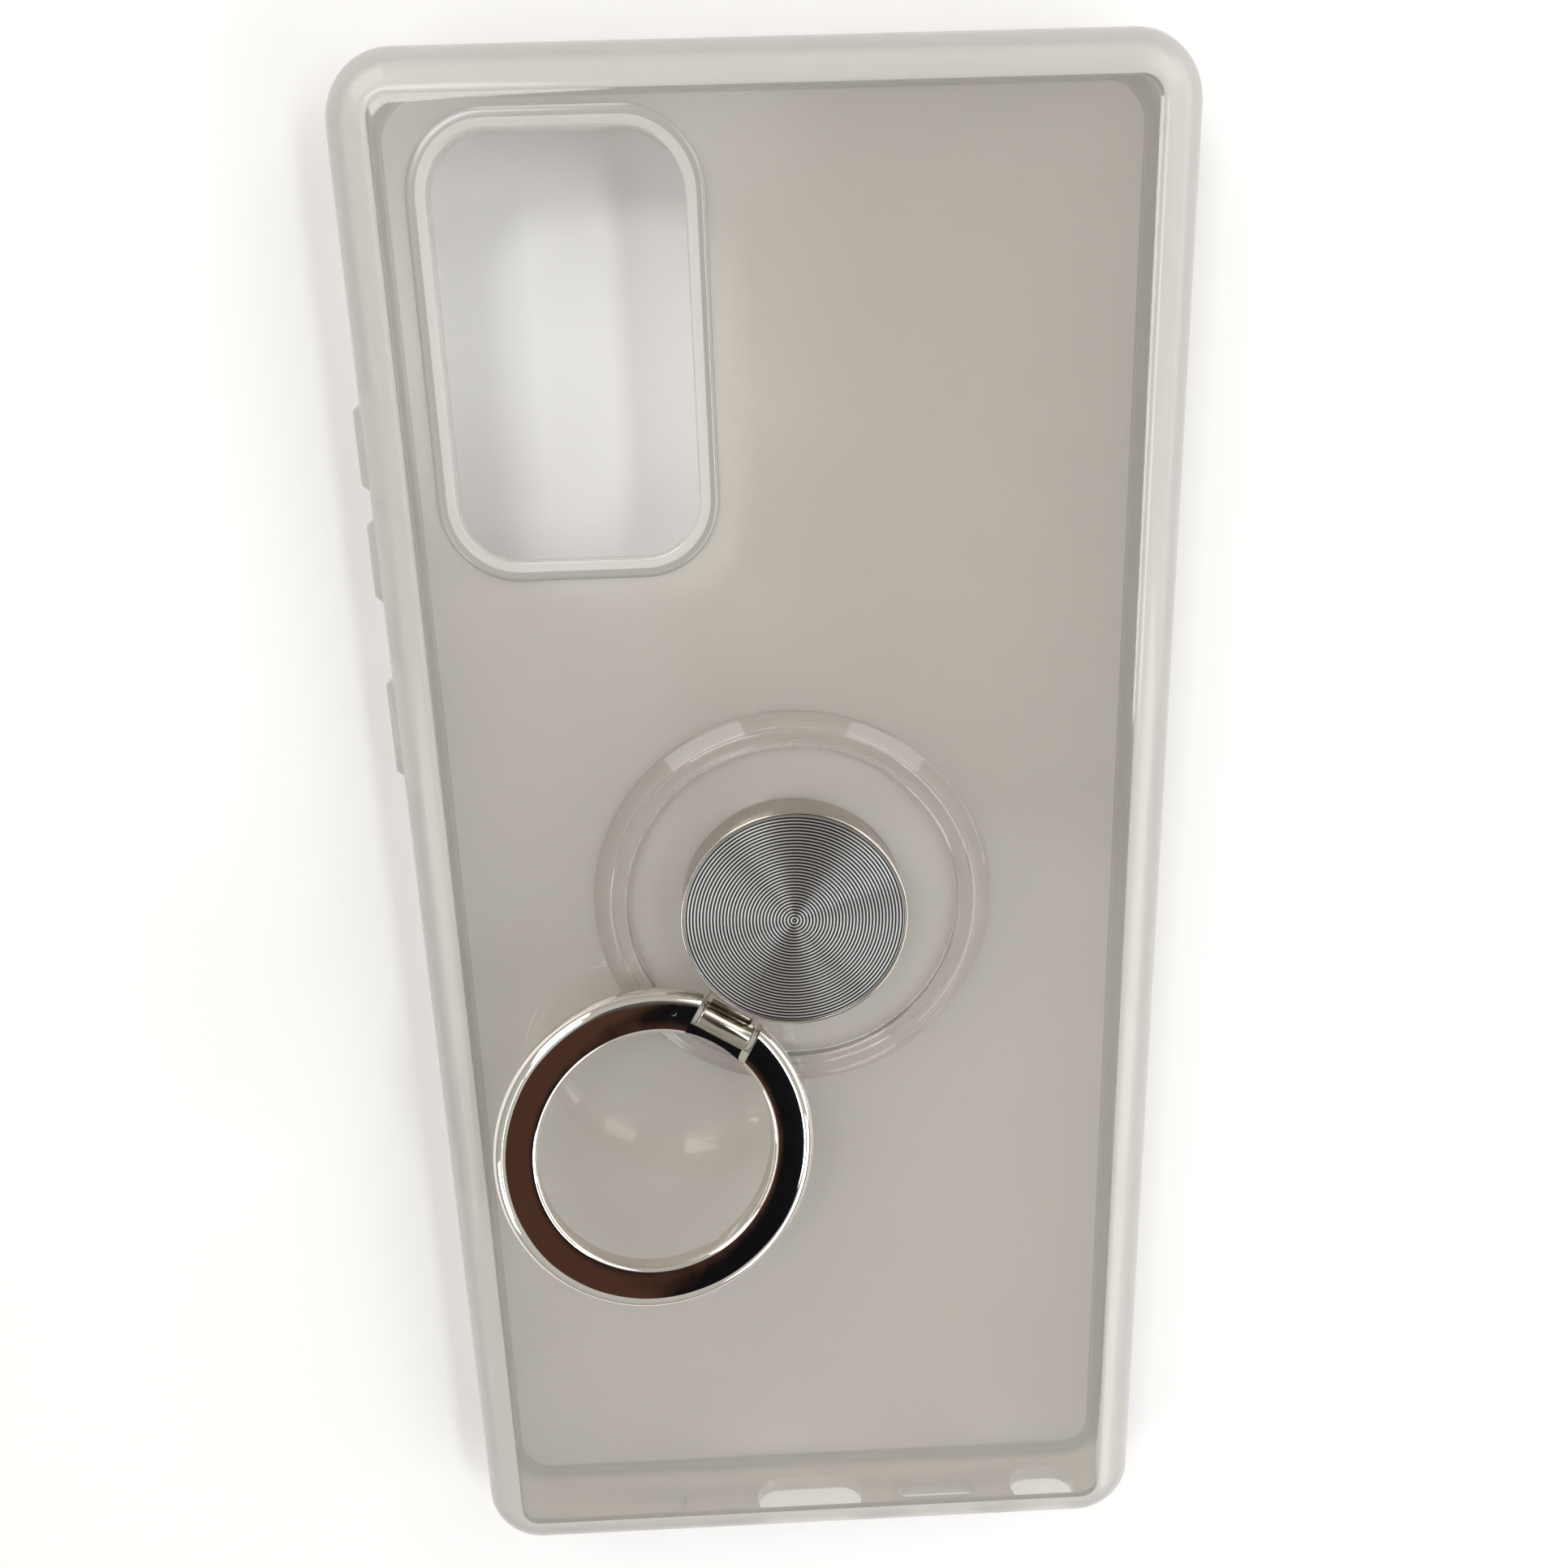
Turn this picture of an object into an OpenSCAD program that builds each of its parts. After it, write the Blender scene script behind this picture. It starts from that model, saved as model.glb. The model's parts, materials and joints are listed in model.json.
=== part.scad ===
// Clear phone case with a swivelling finger-ring stand.
// The case lies open side down: +Z leaves its back, +Y points to the phone's top end,
// and the screen lip rests on Z = 0.

/* [Case] */
// Overall width across the side walls, without the buttons
case_w = 79; // [77:0.5:84]
// Overall length from bottom wall to top wall
case_l = 165.4; // [158:0.1:175]
// Height from the screen lip to the outside of the back
case_h = 11; // [10.4:0.1:12]
// Radius of the four corners, seen from the back
corner_r = 6.5; // [6:0.1:9]
// Thickness of the side walls
wall_t = 1.9; // [1.8:0.05:2.2]
// Thickness of the back plate
plate_t = 1.5; // [1.5:0.05:1.8]
// How far the bumper reaches in over the back, from the outer edge
band_w = 4.5; // [4.2:0.1:5]
// Thickness of the lip in front of the screen
lip_t = 1.2; // [1:0.05:1.4]
// How far the lip reaches over the screen's edge
lip_reach = 1.3; // [0.8:0.05:1.5]
// Radius of the outer edge on the back
back_edge_r = 3.8; // [3:0.1:4]
// Radius of the outer edge at the screen lip
lip_edge_r = 1.6; // [1:0.1:2]

/* [Camera cutout] */
// Width of the hole
cam_w = 22.8; // [20:0.1:23]
// Length of the hole
cam_l = 37.3; // [30:0.1:37.6]
// Radius of its corners
cam_r = 5.5; // [4:0.1:7]
// Distance of its centre from the case's centre line, towards the button side
cam_side = 19; // [17.5:0.1:19.2]
// Distance of its centre from the middle of the case, towards the top
cam_up = 56.4; // [50:0.1:56.5]
// Width of the raised bead round the hole
bead_w = 1.9; // [1.5:0.1:2]
// Height of the bead above the back
bead_h = 0.7; // [0.4:0.1:1]

/* [Ports] */
// Width of the charging slot
charge_w = 13.3; // [11:0.1:14]
// Height of the charging slot
charge_h = 5.4; // [5:0.1:5.8]
// Width of the speaker slot
speaker_w = 10; // [7:0.1:10.5]
// Height of the speaker slot
speaker_h = 2; // [1.5:0.1:2.5]
// Distance of the speaker slot from the centre line
speaker_side = 16; // [15:0.1:16.5]
// Width of the pen slot
pen_w = 8.2; // [7:0.1:8.4]
// Height of the pen slot
pen_h = 5; // [4.5:0.1:5.4]
// Distance of the pen slot from the centre line
pen_side = 29.4; // [28:0.1:29.6]
// Diameter of the two microphone holes
mic_d = 1.3; // [1:0.1:2]

/* [Buttons] */
// Length of each volume button along the case
volume_len = 8.5; // [7:0.1:9]
// Length of the power button along the case
power_len = 10.7; // [9:0.1:12]
// Height of the buttons across the wall
button_h = 3.4; // [3:0.1:3.8]
// How far the buttons stand out of the wall
button_proud = 0.9; // [0.6:0.05:1.2]
// How far a button travels inwards
button_travel = 0.4; // [0.3:0.05:0.45]

/* [Stand] */
// Distance of the stand's centre from the middle of the case, towards the top
stand_up = 1.6; // [-5:0.1:5]
// Outer radius of the turning drum
drum_r = 11.5; // [11:0.1:11.6]
// Height of the drum's face above the back
drum_h = 4.95; // [4.8:0.05:5.2]
// Radius of the inlaid disc
disc_r = 11.05; // [10.5:0.05:11.05]
// Distance of the hinge pin from the swivel axis
hinge_reach = 14.2; // [13.9:0.1:14.2]
// Height of the hinge pin above the back
hinge_up = 3.6; // [2.9:0.05:3.6]
// Radius of the hinge pin
pin_r = 0.75; // [0.6:0.05:0.8]

/* [Finger ring] */
// Inner radius of the ring
ring_in_r = 12.1; // [12.1:0.05:12.3]
// Outer radius of the ring
ring_out_r = 16.5; // [16.2:0.05:16.6]
// Thickness of the ring
ring_t = 3; // [2.6:0.1:3]
// Width of the gap in the ring that holds the hinge lug
ring_gap = 7; // [6.8:0.1:7.4]
// Rest angle of the ring above the back, folded right out
ring_rise = 17; // [17:1:90]
// Rest direction of the hinge round the swivel axis, from -Y towards -X
stand_turn = 32.8; // [0:0.2:360]

/* [Collar] */
// Inner radius of the collar that the folded ring lies in
collar_in_r = 17.1; // [17:0.1:17.4]
// Outer radius of the collar at its foot
collar_out_r = 20.7; // [20:0.1:21.5]
// Height of the collar above the back
collar_h = 1.5; // [1:0.1:1.5]

/* [Hidden] */
$fn = 96;
through = 1;                              // how far a cutter runs past a face
case_x = button_proud / 2;                // centre line, so that the buttons count in the centred box
inner_z = case_h - plate_t;               // face that the phone's back lies on
port_z = (lip_t + inner_z) / 2;           // middle of the phone's edge
cavity_back_r = 3;                        // radius of the pocket along the phone's back
cavity_front_r = 1.5;                     // radius of the pocket behind the lip

// Plate and bumper interlock in a tongue all the way round
tongue_w = 1;
tongue_t = 0.5;
tongue_z = inner_z + (plate_t - tongue_t) / 2;
plate_w = case_w - 2 * band_w;
plate_l = case_l - 2 * band_w;
plate_r = corner_r - band_w;

// Camera bead: a sleeve through the plate under a wider rounded bead
sleeve_w = 1;
bead_edge_r = 0.3;

// Ports and microphones, distances from the centre line
bottom_mic_side = -16;
top_mic_side = -12.3;

// Buttons: place along the case, chamfer, clearance in the window and the flange that holds them in
volume_up_y = 48.6;
volume_down_y = 37.8;
power_y = 20.9;
button_chamfer = 0.8;
button_gap = 0.06;
flange_t = 0.42;
flange_w = 0.8;
flange_play = 0.03;
flange_pocket = 0.9;

// Stand: levels above the back, from the flange inside the case up to the disc
flange_r = 8.5;
base_flange_t = 0.5;
neck_r = 4;
rivet_r = 2;
clamp_r = 8;
clamp_t = 0.5;
bearing_t = 0.3;
run_gap = 0.03;                           // clearance of faces that slide on each other
bore_gap = 0.05;                          // clearance of the drum on its neck
floor_z = clamp_t + bearing_t + run_gap;
floor_t = 0.7;
spring_r = 5.6;
spring_t = 0.35;
spring_z = floor_z + floor_t + run_gap;
head_r = 6;
head_t = 0.7;
head_z = spring_z + spring_t;
pocket_r = 9.4;
skirt_z = 0.3;
magnet_r = 10.2;
magnet_t = 1;
film_t = 0.15;
disc_t = 0.5;
rim_stand = 0.1;                          // height of the drum's rim above the disc
disc_gap = 0.08;                          // dark joint between disc and rim
disc_z = drum_h - rim_stand - disc_t;
film_z = disc_z - film_t;
magnet_z = film_z - magnet_t;

// Hinge lug on the drum, with a bush on each side of it
lug_r = 1.3;
lug_w = 5.8;
lug_web_t = 0.5;                          // floor of the channel between drum and barrel
lug_cheek_t = 0.5;
lug_cheek_top = -0.2;                     // top of the channel's cheeks, from the pin's height
pin_run_gap = 0.04;
bush_r = 1.2;
bush_play = 0.04;                         // side play of bushes and ring, on each face
bush_t = (ring_gap - lug_w) / 2 - 2 * bush_play;
pin_len = ring_gap + 5;

// Finger ring: bevelled section, and the low bridge that closes it behind the lug
ring_bevel = 0.9;
bridge_gap = 0.12;                        // clearance between bridge and lug barrel
bridge_top = -0.25;                       // top of the bridge, from the middle of the ring

// Collar: locating spigot in the plate, sloped outside, flat top
collar_top_w = 1.6;
collar_edge = 0.3;
spigot_in_r = collar_in_r + 0.3;
spigot_out_r = spigot_in_r + 1.2;
spigot_d = 0.6;

// A rectangle of w by l with round corners, centred
module round_rect(w, l, r) {
    square([w - 2 * r, l], center = true);
    square([w, l - 2 * r], center = true);
    for (x = [-1, 1], y = [-1, 1])
        translate([x * (w / 2 - r), y * (l / 2 - r)]) circle(r);
}

// A slot of w by h with round ends, centred
module stadium(w, h) {
    square([w - h, h], center = true);
    for (x = [-1, 1]) translate([x * (w - h) / 2, 0]) circle(h / 2);
}

// Sweeps the section below it round a rectangle of w by l. The section's X is the distance
// from the centre of the corner, so the outer edge lies at X = r.
module sweep_round(w, l, r) {
    for (turn = [0:3]) {
        half = turn % 2 == 0 ? [w / 2 - r, l / 2 - r] : [l / 2 - r, w / 2 - r];
        rotate([0, 0, turn * 90]) {
            translate([half.x, half.y, 0]) rotate_extrude(angle = 90) children();
            translate([half.x, 0, 0]) rotate([90, 0, 0])
                linear_extrude(2 * half.y, center = true) children();
        }
    }
}

// A flat ring from radius r_in to r_out, its underside at z
module washer(r_in, r_out, z, t) {
    translate([0, 0, z]) difference() {
        cylinder(h = t, r = r_out);
        translate([0, 0, -through]) cylinder(h = t + 2 * through, r = r_in);
    }
}

// Frame of the stand: the swivel axis, with Z = 0 on the back
module at_stand() translate([case_x, stand_up, case_h]) children();

// Frame of the drum: as at_stand, with the hinge in the -Y direction
module at_drum() at_stand() rotate([0, 0, -stand_turn]) children();

// Frame of the hinge: X along the pin, -Y out along the ring, Z square to the ring
module at_hinge() at_drum() translate([0, -hinge_reach, hinge_up]) rotate([-ring_rise, 0, 0]) children();

// Frame of a button: X = 0 on the outside of the wall, +X into the case
module at_button(y) translate([case_x - case_w / 2, y, port_z]) children();

// Section of the bumper's outside, with its outer edge at X = corner_r
module outer_section() intersection() {
    square([corner_r, case_h]);
    union() {
        square([corner_r - back_edge_r, case_h]);
        square([corner_r - lip_edge_r, case_h - back_edge_r]);
        translate([0, lip_edge_r]) square([corner_r, case_h - back_edge_r - lip_edge_r]);
        translate([corner_r - back_edge_r, case_h - back_edge_r]) circle(back_edge_r);
        translate([corner_r - lip_edge_r, lip_edge_r]) circle(lip_edge_r);
    }
}

// Section of the pocket that the phone fills, and of the opening over its screen
module pocket_section() {
    wall_x = corner_r - wall_t;
    translate([-through, lip_t])
        square([wall_x - cavity_back_r + through, inner_z - lip_t]);
    translate([-through, lip_t])
        square([wall_x - cavity_front_r + through, inner_z - lip_t - cavity_back_r]);
    translate([-through, lip_t + cavity_front_r])
        square([wall_x + through, inner_z - lip_t - cavity_front_r - cavity_back_r]);
    translate([wall_x - cavity_back_r, inner_z - cavity_back_r]) circle(cavity_back_r);
    translate([wall_x - cavity_front_r, lip_t + cavity_front_r]) circle(cavity_front_r);
    translate([-through, -through]) square([wall_x - lip_reach + through, lip_t + 2 * through]);
}

// Section of the whole bumper: outside less pocket, plate and tongue groove
module bumper_section() difference() {
    outer_section();
    pocket_section();
    translate([-through, inner_z - through])
        square([plate_r + through, plate_t + 2 * through]);
    translate([0, tongue_z]) square([plate_r + tongue_w, tongue_t]);
}

// A slot through an end wall: side is its distance from the centre line, end is -1 or 1
module end_slot(side, end, w, h)
    translate([case_x + side, end * case_l / 2, port_z]) rotate([90, 0, 0])
        linear_extrude(2 * (wall_t + through), center = true) stadium(w, h);

// The window and the flange pocket of one button in the side wall
module button_window(len) {
    gap = 2 * button_gap;
    translate([wall_t / 2, 0, 0])
        cube([wall_t + 2 * through, len + gap, button_h + gap], center = true);
    translate([wall_t - flange_pocket, -len / 2 - flange_w - button_gap, -button_h / 2 - flange_w - button_gap])
        cube([flange_pocket + through, len + 2 * flange_w + gap, button_h + 2 * flange_w + gap]);
}

// A push button: chamfered cap, stem through the wall and the flange that keeps it in
module push_button(len) color("gainsboro") {
    back_x = wall_t - flange_pocket + flange_play;
    linear_extrude(button_h, center = true) polygon([
        [-button_proud, -len / 2 + button_chamfer], [0, -len / 2], [back_x, -len / 2],
        [back_x, len / 2], [0, len / 2], [-button_proud, len / 2 - button_chamfer]]);
    translate([back_x, -len / 2 - flange_w, -button_h / 2 - flange_w])
        cube([flange_t, len + 2 * flange_w, button_h + 2 * flange_w]);
}

// Clear back plate with its tongue, the camera hole and the stand's seats
module back_panel() color([0.69, 0.66, 0.63]) difference() {
    translate([case_x, 0, 0]) union() {
        translate([0, 0, inner_z]) linear_extrude(plate_t) round_rect(plate_w, plate_l, plate_r);
        translate([0, 0, tongue_z]) linear_extrude(tongue_t)
            round_rect(plate_w + 2 * tongue_w, plate_l + 2 * tongue_w, plate_r + tongue_w);
    }
    translate([case_x - cam_side, cam_up, inner_z - through]) linear_extrude(plate_t + 2 * through)
        round_rect(cam_w + 2 * sleeve_w, cam_l + 2 * sleeve_w, cam_r + sleeve_w);
    at_stand() {
        translate([0, 0, -plate_t - through]) cylinder(h = plate_t + 2 * through, r = neck_r);
        translate([0, 0, -plate_t - through]) cylinder(h = base_flange_t + through, r = flange_r);
        washer(spigot_in_r, spigot_out_r, -spigot_d, spigot_d + through);
    }
}

// Soft bumper: walls, screen lip and the band over the back's edge, with every opening
module bumper_frame() color([0.77, 0.74, 0.71]) difference() {
    translate([case_x, 0, 0]) sweep_round(case_w, case_l, corner_r) bumper_section();
    end_slot(0, -1, charge_w, charge_h);
    end_slot(speaker_side, -1, speaker_w, speaker_h);
    end_slot(pen_side, -1, pen_w, pen_h);
    for (mic = [[bottom_mic_side, -1], [top_mic_side, 1]])
        translate([case_x + mic[0], mic[1] * case_l / 2, port_z]) rotate([90, 0, 0])
            cylinder(h = 2 * (wall_t + through), d = mic_d, center = true);
    at_button(volume_up_y) button_window(volume_len);
    at_button(volume_down_y) button_window(volume_len);
    at_button(power_y) button_window(power_len);
}

// Raised soft bead that keeps the camera glass off the table
module camera_bead() color([0.74, 0.71, 0.68])
    translate([case_x - cam_side, cam_up, 0])
        sweep_round(cam_w, cam_l, cam_r) {
            union() {
                translate([cam_r, inner_z]) square([sleeve_w, plate_t + bead_h - bead_edge_r]);
                translate([cam_r, case_h]) square([bead_w, bead_h - bead_edge_r]);
                translate([cam_r + bead_edge_r, case_h]) square([bead_w - 2 * bead_edge_r, bead_h]);
                for (x = [bead_edge_r, bead_w - bead_edge_r])
                    translate([cam_r + x, case_h + bead_h - bead_edge_r]) circle(bead_edge_r);
            }
        }

// Clear collar: sloped outside, upright inside, with a spigot that centres it in the plate
module ring_collar() color([0.8, 0.78, 0.75]) at_stand() rotate_extrude() {
    polygon([[collar_in_r, 0], [collar_out_r, 0], [collar_out_r - collar_edge, collar_edge],
             [collar_in_r + collar_top_w, collar_h], [collar_in_r + collar_edge, collar_h],
             [collar_in_r, collar_h - collar_edge]]);
    translate([spigot_in_r, -spigot_d]) square([spigot_out_r - spigot_in_r, spigot_d]);
}

module volume_up_button() at_button(volume_up_y) push_button(volume_len);

module volume_down_button() at_button(volume_down_y) push_button(volume_len);

module power_button() at_button(power_y) push_button(power_len);

// Flange inside the case, level with the plate, and the neck that the drum turns on
module base_flange() color("silver") at_stand() difference() {
    union() {
        translate([0, 0, -plate_t]) cylinder(h = base_flange_t, r = flange_r);
        translate([0, 0, -plate_t]) cylinder(h = plate_t + head_z, r = neck_r);
    }
    translate([0, 0, -plate_t - through]) cylinder(h = plate_t + head_z + 2 * through, r = rivet_r);
}

// Washer that clamps the plate against the flange
module clamp_washer() color("darkgray") at_stand() washer(neck_r, clamp_r, 0, clamp_t);

// Slippery washer that the drum slides on
module bearing_washer() color("white") at_stand() washer(neck_r, clamp_r, clamp_t, bearing_t);

// Spring washer that presses on the drum's floor and gives the swivel its drag
module friction_spring() color("gray") at_stand() washer(neck_r, spring_r, spring_z, spring_t);

// Rivet through the neck, whose head holds spring and drum down
module pivot_rivet() color("dimgray") at_stand() {
    translate([0, 0, -plate_t]) cylinder(h = plate_t + head_z, r = rivet_r);
    translate([0, 0, head_z]) cylinder(h = head_t, r = head_r);
}

// Lug on the drum: a barrel round the pin at the end of a shallow channel
module hinge_lug() translate([0, -hinge_reach, hinge_up]) {
    rotate([0, 90, 0]) cylinder(h = lug_w, r = lug_r, center = true);
    translate([-lug_w / 2, 0, -lug_r]) cube([lug_w, hinge_reach - pocket_r, lug_web_t]);
    for (x = [-lug_w / 2, lug_w / 2 - lug_cheek_t])
        translate([x, 0, -lug_r]) cube([lug_cheek_t, hinge_reach - pocket_r, lug_r + lug_cheek_top]);
}

// Turning drum: a cup with seats for plate and disc, and the lug that carries the pin
module swivel_drum() color([0.78, 0.75, 0.68]) at_drum() difference() {
    union() {
        translate([0, 0, skirt_z]) cylinder(h = drum_h - skirt_z, r = drum_r);
        hinge_lug();
    }
    translate([0, 0, skirt_z - through]) cylinder(h = floor_z - skirt_z + through, r = clamp_r + 0.5);
    cylinder(h = drum_h, r = neck_r + bore_gap);
    translate([0, 0, floor_z + floor_t]) cylinder(h = drum_h, r = pocket_r);
    translate([0, 0, magnet_z]) cylinder(h = drum_h, r = magnet_r);
    translate([0, 0, film_z]) cylinder(h = drum_h, r = disc_r + disc_gap);
    translate([0, -hinge_reach, hinge_up]) rotate([0, 90, 0])
        cylinder(h = lug_w + 2 * through, r = pin_r + pin_run_gap, center = true);
}

// Steel plate that a magnetic holder pulls on
module magnet_plate() color("slategray") at_stand()
    translate([0, 0, magnet_z]) cylinder(h = magnet_t, r = magnet_r);

// Double-sided film under the disc
module inlay_film() color("ivory") at_stand()
    translate([0, 0, film_z]) cylinder(h = film_t, r = disc_r);

// Spun aluminium disc
module disc_inlay() color("lightsteelblue") at_stand()
    translate([0, 0, disc_z]) cylinder(h = disc_t, r = disc_r);

// Two friction bushes on the pin, one on each side of the lug
module hinge_bushes() color("saddlebrown") at_hinge()
    for (side = [-1, 1])
        translate([side * (lug_w / 2 + bush_play + bush_t / 2), 0, 0]) rotate([0, 90, 0]) difference() {
            cylinder(h = bush_t, r = bush_r, center = true);
            cylinder(h = bush_t + 2 * through, r = pin_r, center = true);
        }

// Pin through the lug, pressed into both ends of the ring
module hinge_pin() color("silver") at_hinge() rotate([0, 90, 0])
    cylinder(h = pin_len, r = pin_r, center = true);

// Section of the finger ring, bevelled on all four edges
module ring_section() {
    half = ring_t / 2;
    b = ring_bevel;
    polygon([[ring_in_r, -half + b], [ring_in_r + b, -half], [ring_out_r - b, -half],
             [ring_out_r, -half + b], [ring_out_r, half - b], [ring_out_r - b, half],
             [ring_in_r + b, half], [ring_in_r, half - b]]);
}

// Space in the ring for the lug: right through round the barrel, and above the bridge
module lug_space() {
    barrel_reach = lug_r + bridge_gap;
    translate([-ring_gap / 2, -barrel_reach, -ring_t])
        cube([ring_gap, barrel_reach + ring_out_r - ring_in_r, 2 * ring_t]);
    translate([-ring_gap / 2, -hinge_reach / 2, bridge_top])
        cube([ring_gap, hinge_reach, ring_t]);
}

// Finger ring, notched where the lug sits, with a blind bore for the pin on each side
module finger_ring() color([0.8, 0.78, 0.72]) at_hinge() difference() {
    translate([0, -hinge_reach, 0]) rotate_extrude() ring_section();
    lug_space();
    rotate([0, 90, 0]) cylinder(h = pin_len, r = pin_r, center = true);
}

back_panel();
bumper_frame();
camera_bead();
ring_collar();
volume_up_button();
volume_down_button();
power_button();
base_flange();
clamp_washer();
bearing_washer();
friction_spring();
pivot_rivet();
swivel_drum();
magnet_plate();
inlay_film();
disc_inlay();
hinge_bushes();
hinge_pin();
finger_ring();
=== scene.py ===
"""Clear phone case with a swivelling finger-ring stand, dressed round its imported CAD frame.

Every size is in millimetres and every finished mesh in metres, in the frame of the CAD model:
the case lies open side down, +Z leaves its back and +Y points to the phone's top end.
"""

import json
import logging
import math
from contextlib import contextmanager
from dataclasses import dataclass, field
from enum import Enum
from typing import Iterable, Iterator, Sequence

import bmesh
import bpy
from bmesh.types import BMesh, BMVert
from mathutils import Matrix, Vector


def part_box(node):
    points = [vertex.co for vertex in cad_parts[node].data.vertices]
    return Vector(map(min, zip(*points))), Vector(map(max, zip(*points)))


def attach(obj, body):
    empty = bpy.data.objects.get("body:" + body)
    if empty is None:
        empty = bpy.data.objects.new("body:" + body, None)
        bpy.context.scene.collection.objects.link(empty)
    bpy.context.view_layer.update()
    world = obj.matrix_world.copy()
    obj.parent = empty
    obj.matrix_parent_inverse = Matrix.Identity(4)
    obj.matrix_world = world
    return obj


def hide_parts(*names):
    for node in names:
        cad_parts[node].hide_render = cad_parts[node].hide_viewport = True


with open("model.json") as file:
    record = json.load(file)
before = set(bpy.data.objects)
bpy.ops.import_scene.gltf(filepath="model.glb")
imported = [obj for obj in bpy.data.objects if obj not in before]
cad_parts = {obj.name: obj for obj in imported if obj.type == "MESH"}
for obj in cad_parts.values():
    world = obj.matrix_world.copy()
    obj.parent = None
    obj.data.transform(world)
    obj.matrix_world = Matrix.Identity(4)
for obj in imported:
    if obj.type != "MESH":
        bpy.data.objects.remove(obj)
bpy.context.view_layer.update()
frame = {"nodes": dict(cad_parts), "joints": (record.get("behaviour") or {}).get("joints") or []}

MM = 0.001
WELD = 1e-7
LEAST_CORNER_R = 0.3
log = logging.getLogger("phone_case")

Point2 = tuple[float, float]
Colour = tuple[float, float, float]
Piece = bpy.types.Object
Node = bpy.types.Node
Socket = bpy.types.NodeSocket
ShapeTree = bpy.types.GeometryNodeTree


class Body(Enum):
    """The CAD bodies that pieces ride on."""

    CASE = "case"
    TURNTABLE = "turntable"
    RING = "ring"
    VOLUME_UP = "volume_up"
    VOLUME_DOWN = "volume_down"
    POWER = "power"


class Slot(Enum):
    """The record's material slots."""

    PLATE = "clear_plate"
    BUMPER = "soft_bumper"
    DRUM = "drum_metal"
    RING = "ring_metal"
    DISC = "spun_aluminium"


# ---------------------------------------------------------------- places taken from the frame


def middle(node: str) -> Vector:
    """Finds the middle of a CAD node's box, in millimetres."""
    low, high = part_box(node)
    return (low + high) / 2 / MM


def extent(node: str) -> Vector:
    """Finds the three sides of a CAD node's box, in millimetres."""
    low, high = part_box(node)
    return (high - low) / MM


def joint(name: str) -> dict:
    """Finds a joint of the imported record."""
    return next(entry for entry in frame["joints"] if entry["name"] == name)


# ---------------------------------------------------------------- mesh making


def arc(x: float, z: float, radius: float, start: float, end: float, steps: int) -> list[Point2]:
    """Makes the points of an arc in a section."""
    turns = [math.radians(start + (end - start) * i / steps) for i in range(steps + 1)]
    return [(x + radius * math.cos(t), z + radius * math.sin(t)) for t in turns]


def rounded(corners: Sequence[tuple[float, float, float]], steps: int = 4) -> list[Point2]:
    """Rounds the corners of a closed outline.

    Args:
        corners: Each corner as (x, z, radius); a radius of 0 keeps it sharp.
        steps: Number of chords round each corner.

    Returns:
        The points of the rounded outline.
    """
    points: list[Point2] = []
    count = len(corners)
    for i, (x, z, radius) in enumerate(corners):
        here = Vector((x, z))
        if radius <= 0:
            points.append((x, z))
            continue
        back = (Vector(corners[i - 1][:2]) - here).normalized()
        ahead = (Vector(corners[(i + 1) % count][:2]) - here).normalized()
        half = back.angle(ahead) / 2
        centre = here + (back + ahead).normalized() * (radius / math.sin(half))
        first = here + back * (radius / math.tan(half)) - centre
        last = here + ahead * (radius / math.tan(half)) - centre
        sweep = first.angle_signed(last)
        for k in range(steps + 1):
            spoke = first.copy()
            spoke.rotate(Matrix.Rotation(-sweep * k / steps, 2))
            points.append(tuple(centre + spoke))
    return points


def new_object(name: str, mesh: bpy.types.Mesh) -> Piece:
    """Puts a mesh in the scene as a new object at the origin.

    Args:
        name: Name of the object.
        mesh: Its mesh.

    Returns:
        The object.
    """
    piece = bpy.data.objects.new(name, mesh)
    bpy.context.scene.collection.objects.link(piece)
    return piece


def from_bmesh(name: str, shape: BMesh) -> Piece:
    """Turns a bmesh in millimetres into an object in metres, its normals outwards.

    Args:
        name: Name of the object.
        shape: The bmesh, which is freed.

    Returns:
        The object.
    """
    bmesh.ops.remove_doubles(shape, verts=shape.verts, dist=WELD / MM)
    bmesh.ops.recalc_face_normals(shape, faces=shape.faces)
    shape.transform(Matrix.Scale(MM, 4))
    mesh = bpy.data.meshes.new(name)
    shape.to_mesh(mesh)
    shape.free()
    return new_object(name, mesh)


def join_loops(shape: BMesh, loops: list[list[BMVert]], closed: bool = True) -> None:
    """Joins a row of closed vertex loops with quads.

    Args:
        shape: The bmesh that holds the loops.
        loops: The loops, all of one length.
        closed: Whether the last loop joins the first.
    """
    for row, ahead in zip(loops, loops[1:] + (loops[:1] if closed else [])):
        for i, vertex in enumerate(row):
            j = (i + 1) % len(row)
            shape.faces.new((vertex, row[j], ahead[j], ahead[i]))


def lathe(name: str, section: Sequence[Point2], centre: Vector, segments: int = 160) -> Piece:
    """Turns a closed section round a vertical axis.

    Args:
        name: Name of the object.
        section: Points as (radius, height); the heights count from centre.
        centre: A point on the axis.
        segments: Number of steps in the full turn.

    Returns:
        The turned body.
    """
    shape = bmesh.new()
    loops = []
    for k in range(segments):
        turn = 2 * math.pi * k / segments
        outward = Vector((math.cos(turn), math.sin(turn), 0))
        loops.append([shape.verts.new(centre + outward * r + Vector((0, 0, z))) for r, z in section])
    join_loops(shape, loops)
    return from_bmesh(name, shape)


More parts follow.
